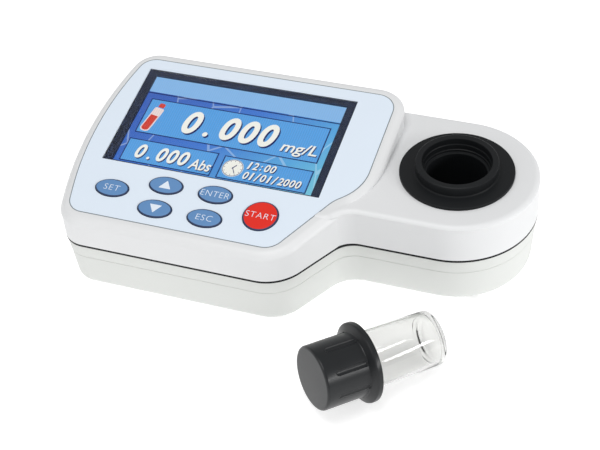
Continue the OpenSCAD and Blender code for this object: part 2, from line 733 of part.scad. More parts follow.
module cap_liner() color([0.93, 0.93, 0.92])
    on_vial() translate([0, 0, -mouth_depth - 0.05 - liner_t]) cylinder(r = neck_r + 0.2, h = liner_t);

grip_grooves = 8;

module vial_cap() color([0.13, 0.13, 0.14])
    on_vial() difference() {
        rotate_extrude($fn = 96) polygon([
            [0, cap_end_z], [knob_r - 1, cap_end_z], [knob_r, cap_end_z + 1],
            [knob_r, -flange_rim_t - flange_cone_t], [flange_r - 0.6, -flange_rim_t],
            [flange_r, -flange_rim_t + 0.5], [flange_r, -0.1], [glass_r + 0.35, -0.1],
            [neck_r + 0.8, -2], [neck_r + 0.8, -mouth_depth - liner_t - 0.1],
            [0, -mouth_depth - liner_t - 0.1]]);
        for (k = [0 : grip_grooves - 1]) rotate(k * 360 / grip_grooves)
            translate([knob_r + 0.9, 0, cap_end_z + 5]) cylinder(r = 1.6, h = knob_len - 5.6);
    }

upper_shell();
lower_shell();
seam_seal();
rubber_feet();
housing_screws();
front_overlay();
display_window();
lcd_frame();
lcd_panel();
lcd_backlight();
display_ribbon();
key_set();
key_up();
key_down();
key_enter();
key_esc();
key_start();
key_domes();
main_board();
board_standoffs();
board_screws();
processor();
buzzer();
well_insert();
well_seal();
optics_block();
lamp();
lamp_holder();
beam_lens();
colour_filter();
light_sensor();
sensor_board();
sensor_cable();
battery_tray();
battery_cells();
battery_contacts();
battery_cover();
cover_screws();
port_board();
usb_port();
switch_body();
power_rocker();
vial_glass();
cap_liner();
vial_cap();
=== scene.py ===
"""Looks of a digital water tester: a bench photometer with a sample well, a colour display and six keys.

Lengths in the classes are millimetres in the row frame: origin on the well's axis at the level of the
feet, +Z up, +X towards the round end, +Y to the back.
"""

import sys
import json
import logging
import math
from dataclasses import dataclass, field
from enum import Enum
from typing import Callable, Iterable, Optional, Sequence, Union

import bpy
from mathutils import Matrix, Vector

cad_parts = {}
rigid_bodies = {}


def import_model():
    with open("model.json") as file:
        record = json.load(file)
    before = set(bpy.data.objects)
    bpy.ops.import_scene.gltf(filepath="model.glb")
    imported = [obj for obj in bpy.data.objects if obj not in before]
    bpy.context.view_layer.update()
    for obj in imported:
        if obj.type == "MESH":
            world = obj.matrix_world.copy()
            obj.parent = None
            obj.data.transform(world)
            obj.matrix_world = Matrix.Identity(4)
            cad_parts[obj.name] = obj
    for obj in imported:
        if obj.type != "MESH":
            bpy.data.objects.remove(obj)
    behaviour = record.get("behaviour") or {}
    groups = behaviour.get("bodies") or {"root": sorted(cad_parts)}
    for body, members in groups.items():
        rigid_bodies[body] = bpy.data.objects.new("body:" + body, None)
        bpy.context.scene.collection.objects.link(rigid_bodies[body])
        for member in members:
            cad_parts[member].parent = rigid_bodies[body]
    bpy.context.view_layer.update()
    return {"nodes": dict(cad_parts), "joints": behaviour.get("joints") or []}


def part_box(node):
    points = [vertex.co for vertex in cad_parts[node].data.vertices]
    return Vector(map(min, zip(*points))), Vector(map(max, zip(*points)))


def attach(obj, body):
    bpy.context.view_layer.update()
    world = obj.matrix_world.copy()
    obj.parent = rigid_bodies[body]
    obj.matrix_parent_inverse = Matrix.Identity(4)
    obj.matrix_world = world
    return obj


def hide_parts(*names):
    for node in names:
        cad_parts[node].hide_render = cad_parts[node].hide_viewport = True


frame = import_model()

MM = 0.001
Triple = tuple[float, float, float]
Colour = Triple
Point = tuple[float, float]
Ring = list[Triple]
Object = bpy.types.Object
log = logging.getLogger("water_tester")


class Part(Enum):
    """What an edit-mode selection is made of."""

    VERT = "VERT"
    EDGE = "EDGE"
    FACE = "FACE"


class Cut(Enum):
    """The ways two solids are combined."""

    REMOVE = "DIFFERENCE"
    JOIN = "UNION"
    KEEP = "INTERSECT"


def srgb(red: int, green: int, blue: int) -> Colour:
    """A paint colour from its three 0 to 255 display values, made linear.

    Args:
        red: The red value.
        green: The green value.
        blue: The blue value.

    Returns:
        The linear colour.
    """
    def linear(value: int) -> float:
        """One of the three values, made linear."""
        share = value / 255
        return share / 12.92 if share <= 0.04045 else ((share + 0.055) / 1.055) ** 2.4
    return linear(red), linear(green), linear(blue)


# ---------------------------------------------------------------- Shader building


class Wire:
    """A number that varies over a surface, on which sums are written as plain expressions."""

    def __init__(self, shader: "Shader", socket: bpy.types.NodeSocket) -> None:
        """Wraps an output socket of a shader's node."""
        self.shader = shader
        self.socket = socket

    def _sum(self, operation: str, *terms: Union["Wire", float]) -> "Wire":
        """Adds one Math node and gives its result."""
        made = self.shader.node("ShaderNodeMath", {"operation": operation}, dict(enumerate(terms)))
        return Wire(self.shader, made.outputs[0])

    def __add__(self, other: Union["Wire", float]) -> "Wire":
        """self + other."""
        return self._sum("ADD", self, other)

    def __sub__(self, other: Union["Wire", float]) -> "Wire":
        """self - other."""
        return self._sum("SUBTRACT", self, other)

    def __rsub__(self, other: float) -> "Wire":
        """other - self."""
        return self._sum("SUBTRACT", other, self)

    def __mul__(self, other: Union["Wire", float]) -> "Wire":
        """self * other."""
        return self._sum("MULTIPLY", self, other)

    __radd__ = __add__
    __rmul__ = __mul__

    def below(self, limit: float) -> "Wire":
        """1 where the number is under the limit, and 0 elsewhere."""
        return self._sum("LESS_THAN", self, limit)

    def size(self) -> "Wire":
        """The number without its sign."""
        return self._sum("ABSOLUTE", self)

    def wave(self) -> "Wire":
        """The sine of the number."""
        return self._sum("SINE", self)

    def limited(self) -> "Wire":
        """The number kept between 0 and 1."""
        return self._sum("MINIMUM", self._sum("MAXIMUM", self, 0.0), 1.0)


class Shader:
    """A material being wired, around one Principled shader."""

    def __init__(self, name: str) -> None:
        """Makes an empty material of that name.

        Args:
            name: The material's name.
        """
        self.material = bpy.data.materials.new(name)
        self.material.use_nodes = True
        self.tree = self.material.node_tree
        self.main = next(n for n in self.tree.nodes if n.type == "BSDF_PRINCIPLED")

    def node(self, kind: str, settings: Optional[dict] = None,
             inputs: Optional[dict] = None) -> bpy.types.Node:
        """Adds a node.

        Args:
            kind: The node's type name.
            settings: Its own settings, which are set first; "stops" fills a colour ramp.
            inputs: Values, wires or sockets, by input name or number.

        Returns:
            The new node.
        """
        made = self.tree.nodes.new(kind)
        for key, value in (settings or {}).items():
            if key == "stops":
                ramp = made.color_ramp
                while len(ramp.elements) < len(value):
                    ramp.elements.new(0.5)
                for element, (place, colour) in zip(ramp.elements, value):
                    element.position = place
                    element.color = (*colour, 1)
            else:
                setattr(made, key, value)
        for key, value in (inputs or {}).items():
            self.feed(made.inputs[key], value)
        return made

    def feed(self, socket: bpy.types.NodeSocket, value: object) -> None:
        """Links a wire or socket to a socket, or sets the socket's own value.

        Args:
            socket: The input.
            value: A wire, a socket, a colour or a number.
        """
        if isinstance(value, Wire):
            value = value.socket
        if isinstance(value, bpy.types.NodeSocket):
            self.tree.links.new(value, socket)
        elif isinstance(value, tuple) and len(value) == 3 and socket.type == "RGBA":
            socket.default_value = (*value, 1)
        else:
            socket.default_value = value

    def dress(self, **values: object) -> "Shader":
        """Sets or links inputs of the Principled shader; underscores stand for spaces.

        Args:
            values: What each input gets, by its name.

        Returns:
            The same shader.
        """
        for key, value in values.items():
            self.feed(self.main.inputs[key.replace("_", " ")], value)
        return self

    def place(self, stretch: Sequence[float] = (1, 1, 1)) -> bpy.types.NodeSocket:
        """The object's own coordinates in metres, stretched along each axis."""
        where = self.node("ShaderNodeTexCoord").outputs["Object"]
        return self.node("ShaderNodeMapping", {}, {"Vector": where, "Scale": tuple(stretch)}).outputs[0]

    def local(self, centre: Sequence[float], turn: Sequence[float], size: Sequence[float]) -> bpy.types.Node:
        """Coordinates from -1 to 1 across a turned box, as a node with X, Y and Z outputs.

        Args:
            centre: The box's middle in metres.
            turn: Its turn in radians.
            size: Its half sizes in metres.

        Returns:
            The node.
        """
        where = self.node("ShaderNodeTexCoord").outputs["Object"]
        inside = self.node("ShaderNodeMapping", {"vector_type": "TEXTURE"}, {
            "Vector": where, "Location": tuple(centre), "Rotation": tuple(turn), "Scale": tuple(size)})
        return self.node("ShaderNodeSeparateXYZ", {}, {0: inside.outputs[0]})

    def noise(self, size: float, detail: float = 2.0, stretch: Sequence[float] = (1, 1, 1)) -> Wire:
        """Cloudy noise whose lumps are about that many millimetres across.

        Args:
            size: The lumps' size in millimetres.
            detail: How many finer layers are added.
            stretch: The pattern's scale along each axis.

        Returns:
            The noise, from 0 to 1.
        """
        made = self.node("ShaderNodeTexNoise", {}, {
            "Vector": self.place(stretch), "Scale": 1 / (size * MM), "Detail": detail})
        return Wire(self, made.outputs["Fac"])

    def mix(self, factor: Union[Wire, float], low: object, high: object) -> bpy.types.NodeSocket:
        """A colour between two colours."""
        made = self.node("ShaderNodeMix", {"data_type": "RGBA"}, {0: factor, 6: low, 7: high})
        return made.outputs[2]

    def bump(self, height: Wire, strength: float, depth: float) -> bpy.types.NodeSocket:
        """A bumped normal from a height that spans that many millimetres."""
        sockets = {"Height": height, "Strength": strength, "Distance": depth * MM}
        return self.node("ShaderNodeBump", {}, sockets).outputs[0]


# ---------------------------------------------------------------- Finishes


@dataclass(frozen=True)
class Moulded:
    """Moulded plastic or rubber: fine spark grain, a slight cloud in its colour and gloss."""

    name: str
    colour: Colour
    roughness: float = 0.45
    grain: float = 0.35
    depth: float = 0.012
    cloud: float = 0.05
    coat: float = 0.0
    shine: float = 0.5

    def material(self) -> bpy.types.Material:
        """Wires the finish.

        Returns:
            The finished material.
        """
        shader = Shader(self.name)
        cloud = shader.noise(14, 3)
        grain = shader.noise(self.grain, 2)
        dark = tuple(c * (1 - self.cloud) for c in self.colour)
        light = tuple(min(1.0, c * (1 + self.cloud)) for c in self.colour)
        gloss = self.roughness - 0.05 + 0.08 * cloud + 0.03 * grain
        shader.dress(Base_Color=shader.mix(cloud, dark, light), Roughness=gloss, Coat_Weight=self.coat,
                     Coat_Roughness=0.12, Specular_IOR_Level=self.shine,
                     Normal=shader.bump(grain, 0.5, self.depth))
        return shader.material


@dataclass(frozen=True)
class Metal:
    """Plated or drawn metal with a brushed grain along X."""

    name: str
    colour: Colour
    roughness: float = 0.32
    stretch: Triple = (0.08, 1, 1)

    def material(self) -> bpy.types.Material:
        """Wires the finish.

        Returns:
            The finished material.
        """
        shader = Shader(self.name)
        brush = shader.noise(0.25, 3, self.stretch)
        tarnish = shader.noise(3.5, 3)
        dull = tuple(c * 0.78 for c in self.colour)
        shader.dress(Base_Color=shader.mix(tarnish, dull, self.colour), Metallic=1.0,
                     Roughness=self.roughness - 0.1 + 0.2 * brush + 0.08 * tarnish,
                     Normal=shader.bump(brush, 0.35, 0.01))
        return shader.material


@dataclass(frozen=True)
class Clear:
    """Clear glass or plastic, with faint smears that soften its gloss."""

    name: str
    tint: Colour = (1.0, 1.0, 1.0)
    ior: float = 1.47
    smear: float = 0.02

    def material(self) -> bpy.types.Material:
        """Wires the finish.

        Returns:
            The finished material.
        """
        shader = Shader(self.name)
        smear = shader.noise(5, 3)
        pale = tuple(0.97 * c for c in self.tint)
        shader.dress(Base_Color=shader.mix(smear, pale, self.tint), Transmission_Weight=1.0, IOR=self.ior,
                     Roughness=self.smear * smear)
        return shader.material


@dataclass(frozen=True)
class Lit:
    """A lit print on the display: even light with the fine upright lines of the panel."""

    name: str
    colour: Colour
    line_pitch: float = 1.1
    line: float = 0.07

    def material(self) -> bpy.types.Material:
        """Wires the finish.

        Returns:
            The finished material.
        """
        shader = Shader(self.name)
        across = shader.node("ShaderNodeSeparateXYZ", {}, {0: shader.place()})
        ripple = (Wire(shader, across.outputs["X"]) * (2 * math.pi / (self.line_pitch * MM))).wave()
        dark = tuple(c * (1 - self.line) for c in self.colour)
        light = tuple(min(1.0, c * (1 + self.line)) for c in self.colour)
        colour = shader.mix(0.5 + 0.5 * ripple, dark, light)
        shader.dress(Base_Color=(0.01, 0.01, 0.012), Emission_Color=colour, Emission_Strength=1.0,
                     Specular_IOR_Level=0.08, Roughness=0.35 + 0.05 * ripple)
        return shader.material


@dataclass(frozen=True)
class ScreenGlow:
    """The display's backdrop: royal blue to cyan, with thin bright streaks; the pale bar on top is a field of
    its own.
    """

    name: str
    centre: Triple
    turn: float
    half: tuple[float, float]

    def material(self) -> bpy.types.Material:
        """Wires the finish.

        Returns:
            The finished material.
        """
        shader = Shader(self.name)
        at = shader.local(self.centre, (self.turn, 0, 0), (self.half[0], self.half[1], 1))
        across, up = Wire(shader, at.outputs["X"]), Wire(shader, at.outputs["Y"])
        sweep = (0.42 + 0.4 * across - 0.18 * up).limited()
        colour = shader.node("ShaderNodeValToRGB", {"stops": [
            (0.0, srgb(58, 98, 184)), (0.4, srgb(64, 120, 206)), (0.75, srgb(90, 168, 222)),
            (1.0, srgb(118, 200, 220))]}, {0: sweep}).outputs[0]
        shards = shader.node("ShaderNodeTexVoronoi", {"feature": "DISTANCE_TO_EDGE"}, {
            "Vector": shader.place((1, 0.6, 1)), "Scale": 42.0})
        streak = Wire(shader, shards.outputs["Distance"]).below(0.012) * 0.3
        colour = shader.mix(streak, colour, srgb(214, 236, 248))
        ripple = (across * (2 * math.pi * 88)).wave()
        colour = shader.mix(0.04 + 0.04 * ripple, colour, srgb(30, 60, 140))
        shader.dress(Base_Color=(0.01, 0.01, 0.015), Emission_Color=colour, Emission_Strength=1.0,
                     Specular_IOR_Level=0.08, Roughness=0.35 + 0.03 * ripple)
        return shader.material


@dataclass(frozen=True)
class Board:
    """A circuit board: solder mask over a grid of tracks."""

    name: str

    def material(self) -> bpy.types.Material:
        """Wires the finish.

        Returns:
            The finished material.
        """
        shader = Shader(self.name)
        tracks = shader.node("ShaderNodeTexBrick", {}, {
            "Vector": shader.place(), "Scale": 90.0, "Mortar Size": 0.03,
            "Color1": (0.012, 0.13, 0.05), "Color2": (0.016, 0.17, 0.07), "Mortar": (0.05, 0.32, 0.12)})
        mask = shader.noise(1.2, 2)
        shader.dress(Base_Color=tracks.outputs["Color"], Roughness=0.35 + 0.15 * mask,
                     Normal=shader.bump(Wire(shader, tracks.outputs["Fac"]), 0.4, 0.03))
        return shader.material


@dataclass(frozen=True)
class Banded:
    """A wrap or cable with stripes across one axis."""

    name: str
    first: Colour
    second: Colour
    pitch: float
    axis: str = "Y"

    def material(self) -> bpy.types.Material:
        """Wires the finish.

        Returns:
            The finished material.
        """
        shader = Shader(self.name)
        at = shader.node("ShaderNodeSeparateXYZ", {}, {0: shader.place()})
        band = (Wire(shader, at.outputs[self.axis]) * (2 * math.pi / (self.pitch * MM))).wave().below(0.3)
        shader.dress(Base_Color=shader.mix(band, self.first, self.second),
                     Roughness=0.3 + 0.1 * shader.noise(2), Normal=shader.bump(band, 0.2, 0.05))
        return shader.material


# ---------------------------------------------------------------- The modelling bench


class Bench:
    """Hand operations on one piece at a time."""

    @staticmethod
    def take(piece: Object) -> Object:
        """Makes a piece the only one selected, and active.

        Args:
            piece: The piece.

        Returns:
            The same piece.
        """
        if bpy.context.object and bpy.context.object.mode != "OBJECT":
            bpy.ops.object.mode_set(mode="OBJECT")
        bpy.ops.object.select_all(action="DESELECT")
        piece.select_set(True)
        bpy.context.view_layer.objects.active = piece
        return piece

    @staticmethod
    def fresh(name: str) -> Object:
        """Names the primitive that was just added and puts its place into its mesh.

        Args:
            name: The piece's name.

        Returns:
            The piece.
        """
        piece = bpy.context.object
        piece.name = name
        piece.data.name = name
        bpy.ops.object.transform_apply(location=True, rotation=True, scale=True)
        return piece

    @staticmethod
    def empty_hands() -> None:
        """Deselects everything, so that a new primitive is alone."""
        bpy.ops.object.select_all(action="DESELECT")

    @classmethod
    def box(cls, name: str, low: Sequence[float], high: Sequence[float]) -> Object:
        """Adds a cube and stretches it between two corners, in millimetres.

        Args:
            name: The piece's name.
            low: Its lowest corner.
            high: Its highest corner.

        Returns:
            The box.
        """
        cls.empty_hands()
        centre = [(a + b) / 2 * MM for a, b in zip(low, high)]
        bpy.ops.mesh.primitive_cube_add(size=1, location=centre)
        bpy.context.object.scale = [(b - a) * MM for a, b in zip(low, high)]
        return cls.fresh(name)

    @classmethod
    def rod(cls, name: str, x: float, y: float, radius: float, low: float, high: float,
            sides: int = 48) -> Object:
        """Adds an upright cylinder, in millimetres.

        Args:
            name: The piece's name.
            x: Its axis along X.
            y: Its axis along Y.
            radius: Its radius.
            low: The height of its foot.
            high: The height of its top.
            sides: How many sides it has.

        Returns:
            The rod.
        """
        cls.empty_hands()
        bpy.ops.mesh.primitive_cylinder_add(vertices=sides, radius=radius * MM, depth=(high - low) * MM,
                                            location=(x * MM, y * MM, (low + high) / 2 * MM))
        return cls.fresh(name)

    @classmethod
    def edit(cls, piece: Object, part: Part) -> None:
        """Opens a piece in edit mode with nothing selected.

        Args:
            piece: The piece.
            part: What will be selected.
        """
        cls.take(piece)
        bpy.ops.object.mode_set(mode="EDIT")
        bpy.ops.mesh.select_mode(type=part.value)
        bpy.ops.mesh.select_all(action="DESELECT")

    @classmethod
    def pick(cls, piece: Object, part: Part, test: Callable[..., bool]) -> None:
        """Selects the faces or edges that pass a test and leaves the piece in edit mode.

        Args:
            piece: The piece.
            part: Faces or edges.
            test: Takes one of the mesh's faces or edges.
        """
        cls.edit(piece, part)
        bpy.ops.object.mode_set(mode="OBJECT")
        for item in piece.data.polygons if part is Part.FACE else piece.data.edges:
            item.select = test(item)
        bpy.ops.object.mode_set(mode="EDIT")

    @classmethod
    def close(cls, piece: Object, weld: float = 0.0005) -> Object:
        """Merges doubles and turns every face outwards.

        Args:
            piece: The piece.
            weld: How near two points are merged, in millimetres.

        Returns:
            The same piece.
        """
        cls.edit(piece, Part.VERT)
        bpy.ops.mesh.select_all(action="SELECT")
        bpy.ops.mesh.remove_doubles(threshold=weld * MM)
        bpy.ops.mesh.normals_make_consistent(inside=False)
        bpy.ops.object.mode_set(mode="OBJECT")
        return piece

    @classmethod
    def stack(cls, name: str, rings: Sequence[Ring]) -> Object:
        """Draws the first ring as a filled circle's outline, then extrudes it through the others.

        Args:
            name: The piece's name.
            rings: Rings of equal length, in millimetres, from the first cap to the last.

        Returns:
            A closed piece.
        """
        cls.empty_hands()
        bpy.ops.mesh.primitive_circle_add(vertices=len(rings[0]), radius=MM, fill_type="NGON")
        piece = cls.fresh(name)
        order = list(range(len(rings[0])))
        for index, (x, y, z) in enumerate(rings[0]):
            piece.data.vertices[index].co = (x * MM, y * MM, z * MM)
        top = [v.co.copy() for v in piece.data.vertices]
        for ring in rings[1:]:
            members = set(order)
            cls.pick(piece, Part.FACE, lambda face: set(face.vertices) == members)
            bpy.ops.mesh.extrude_region_move(TRANSFORM_OT_translate={"value": (0, 0, MM)})
            bpy.ops.object.mode_set(mode="OBJECT")
            lifted = {tuple(round(c, 8) for c in p + Vector((0, 0, MM))): i for i, p in enumerate(top)}
            order = [0] * len(top)
            for vertex in piece.data.vertices:
                if vertex.select:
                    order[lifted[tuple(round(c, 8) for c in vertex.co)]] = vertex.index
            for index, (x, y, z) in zip(order, ring):
                piece.data.vertices[index].co = (x * MM, y * MM, z * MM)
            top = [piece.data.vertices[i].co.copy() for i in order]
        return cls.close(piece)

    @classmethod
    def turn(cls, name: str, profile: Sequence[Point], steps: int = 96, closed: bool = False) -> Object:
        """Turns a profile of (radius, height) points round the Z axis, in millimetres.

        Args:
            name: The piece's name.
            profile: The points; an open profile starts and ends on the axis.
            steps: How many steps the full turn has.
            closed: True where the profile runs back to its first point, off the axis.

        Returns:
            A closed piece.
        """
        cls.empty_hands()
        bpy.ops.mesh.primitive_circle_add(vertices=len(profile), radius=MM, fill_type="NOTHING")
        piece = cls.fresh(name)
        for vertex, (radius, height) in zip(piece.data.vertices, profile):
            vertex.co = (radius * MM, 0, height * MM)
        if not closed:
            ends = {0, len(profile) - 1}
            cls.pick(piece, Part.EDGE, lambda edge: set(edge.vertices) == ends)
            bpy.ops.mesh.delete(type="EDGE")
        cls.edit(piece, Part.VERT)
        bpy.ops.mesh.select_all(action="SELECT")
        bpy.ops.mesh.spin(steps=steps, angle=2 * math.pi, center=(0, 0, 0), axis=(0, 0, 1))
        bpy.ops.object.mode_set(mode="OBJECT")
        return cls.close(piece)

    @classmethod
    def modify(cls, piece: Object, kind: str, **settings: object) -> Object:
        """Adds a modifier with its settings and applies it.

        Args:
            piece: The piece.
            kind: The modifier's type.
            settings: The modifier's settings, by name.

        Returns:
            The same piece.
        """
        cls.take(piece)
        modifier = piece.modifiers.new(kind.title(), kind)
        for key, value in settings.items():
            setattr(modifier, key, value)
        bpy.ops.object.modifier_apply(modifier=modifier.name)
        return piece

    @classmethod
    def combine(cls, piece: Object, tool: Object, cut: Cut) -> Object:
        """Cuts or joins a piece with a tool, which is used up.

        Args:
            piece: The piece.
            tool: The other solid.
            cut: What is done with it.

        Returns:
            The same piece.
        """
        cls.modify(piece, "BOOLEAN", operation=cut.value, object=tool, solver="EXACT")
        bpy.data.objects.remove(tool)
        return piece

    @classmethod
    def round_edges(cls, piece: Object, width: float, segments: int = 3, angle: float = 40) -> Object:
        """Rounds every edge sharper than an angle."""
        return cls.modify(piece, "BEVEL", width=width * MM, segments=segments, limit_method="ANGLE",
                          angle_limit=math.radians(angle), use_clamp_overlap=True)

    @classmethod
    def smooth(cls, piece: Object, angle: float = 32, weighted: bool = False) -> Object:
        """Shades a piece smooth up to an angle, with flat faces kept flat where it is weighted.

        Args:
            piece: The piece.
            angle: Edges sharper than this stay sharp, in degrees.
            weighted: Whether flat faces keep flat shading.

        Returns:
            The same piece.
        """
        cls.take(piece)
        bpy.ops.object.shade_smooth_by_angle(angle=math.radians(angle))
        if weighted:
            cls.modify(piece, "WEIGHTED_NORMAL", keep_sharp=True, weight=50)
        return piece

    @classmethod
    def place(cls, piece: Object, where: Matrix) -> Object:
        """Moves a finished mesh to its place, with the object left at the origin.

        Args:
            piece: The piece.
            where: The move and turn.

        Returns:
            The same piece.
        """
        piece.data.transform(where)
        piece.data.update()
        return piece

    @classmethod
    def copy(cls, piece: Object, name: str) -> Object:
        """A copy with its own mesh.

        Args:
            piece: The piece.
            name: The copy's name.

        Returns:
            The copy.
        """
        twin = piece.copy()
        twin.data = piece.data.copy()
        twin.name = twin.data.name = name
        bpy.context.scene.collection.objects.link(twin)
        return twin

    @classmethod
    def merge(cls, pieces: Sequence[Object], name: str) -> Object:
        """Joins several pieces into the first one.

        Args:
            pieces: The pieces.
            name: The joined piece's name.

        Returns:
            The joined piece.
        """
        cls.take(pieces[0])
        for piece in pieces[1:]:
            piece.select_set(True)
        bpy.ops.object.join()
        pieces[0].name = pieces[0].data.name = name
        return pieces[0]

    @classmethod
    def lettering(cls, name: str, words: str, width: float, height: float, lean: float = 0.0,
                  weight: float = 0.0, spread: float = 1.0, thick: float = 0.04) -> Object:
        """Flat letters as a mesh, centred on the origin, in millimetres.

        Args:
            name: The piece's name.
            words: What it says.
            width: Their width from side to side.
            height: The height of the whole line.
            lean: How far the letters lean.
            weight: How much fatter the strokes are, in letter heights.
            spread: The distance between letters.
            thick: The letters' thickness.

        Returns:
            The letters' mesh.
        """
        cls.empty_hands()
        bpy.ops.object.text_add()
        text = bpy.context.object
        text.data.body = words
        text.data.shear = lean
        text.data.offset = weight
        text.data.space_character = spread
        text.data.extrude = 0.01
        text.data.resolution_u = 6
        bpy.ops.object.convert(target="MESH")
        piece = cls.fresh(name)
        low = Vector([min(v.co[i] for v in piece.data.vertices) for i in range(3)])
        high = Vector([max(v.co[i] for v in piece.data.vertices) for i in range(3)])
        middle, span = (low + high) / 2, high - low
        for vertex in piece.data.vertices:
            at = vertex.co - middle
            vertex.co = (at.x / span.x * width * MM, at.y / span.y * height * MM,
                         (at.z / span.z + 0.5) * thick * MM)
        return cls.close(piece, 0.0001)

    @classmethod
    def typed(cls, name: str, words: str, pitch: float, height: float, lean: float = 0.22,
              weight: float = 0.02) -> Object:
        """Evenly spaced display characters, centred on the origin.

        Args:
            name: The piece's name.
            words: Digits and marks.
            pitch: The distance from one character to the next, in millimetres.
            height: A digit's height, in millimetres.
            lean: How far the characters lean.
            weight: How much fatter the strokes are.

        Returns:
            One mesh with all characters.
        """
        shares = {".": (0.26, 0.19, -0.4), ":": (0.32, 0.66, -0.1), "1": (0.66, 1.0, 0.0),
                  "/": (0.95, 1.12, 0.0)}
        glyphs = []
        for index, letter in enumerate(words):
            wide, tall, rise = shares.get(letter, (0.9, 1.0, 0.0))
            glyph = cls.lettering("glyph", letter, wide * pitch, tall * height, lean, weight)
            along = (index - (len(words) - 1) / 2) * pitch + lean * rise * height
            glyphs.append(cls.place(glyph, Matrix.Translation((along * MM, rise * height * MM, 0))))
        return cls.merge(glyphs, name)


# ---------------------------------------------------------------- Outlines with rounded corners


@dataclass(frozen=True)
class Corner:
    """One rounded corner of an outline."""

    centre: Vector
    radius: float
    start: float
    sweep: float
    steps: int

    def at(self, share: float, inset: float) -> Vector:
        """The point at that share of the arc, moved inwards by an inset.

        Args:
            share: 0 at the arc's start, 1 at its end.
            inset: The move inwards.

        Returns:
            The point.
        """
        angle = self.start + self.sweep * share
        reach = abs(self.radius) - math.copysign(inset, self.radius)
        return self.centre + reach * Vector((math.cos(angle), math.sin(angle)))


class Outline:
    """A closed outline of straight lines and arcs."""

    def __init__(self, points: Sequence[Triple], fineness: float = 2.0) -> None:
        """Rounds each corner point [x, y, radius]; points run anticlockwise.

        Args:
            points: Each corner's x, y and radius.
            fineness: How finely the arcs are divided.
        """
        self.corners = []
        count = len(points)
        for index, (x, y, radius) in enumerate(points):
            here = Vector((x, y))
            before = (here - Vector(points[index - 1][:2])).normalized()
            after = (Vector(points[(index + 1) % count][:2]) - here).normalized()
            sweep = math.atan2(before.x * after.y - before.y * after.x, before.dot(after))
            side = math.copysign(1, sweep)
            start = here - before * radius * math.tan(abs(sweep) / 2)
            centre = start + side * radius * Vector((-before.y, before.x))
            spoke = start - centre
            steps = max(4, 2 * math.ceil(fineness / 2 * math.degrees(abs(sweep)) * math.sqrt(radius) / 45))
            self.corners.append(Corner(centre, side * radius, math.atan2(spoke.y, spoke.x), sweep, steps))

    def spokes(self) -> Iterable[tuple[Corner, float]]:
        """Each corner and share of its arc, without the doubled point where two arcs meet.

        Returns:
            Each corner with its shares, one pair at a time.
        """
        for index, corner in enumerate(self.corners):
            meets = (self.corners[index - 1].at(1, 0) - corner.at(0, 0)).length < 0.01
            for step in range(1 if meets else 0, corner.steps + 1):
                yield corner, step / corner.steps

    def flat(self, inset: float, level: float) -> Ring:
        """The outline at one level, moved inwards by an inset."""
        points = [corner.at(share, inset) for corner, share in self.spokes()]
        return [(p.x, p.y, level) for p in points]


# ---------------------------------------------------------------- Sizes shared by the sub-assemblies


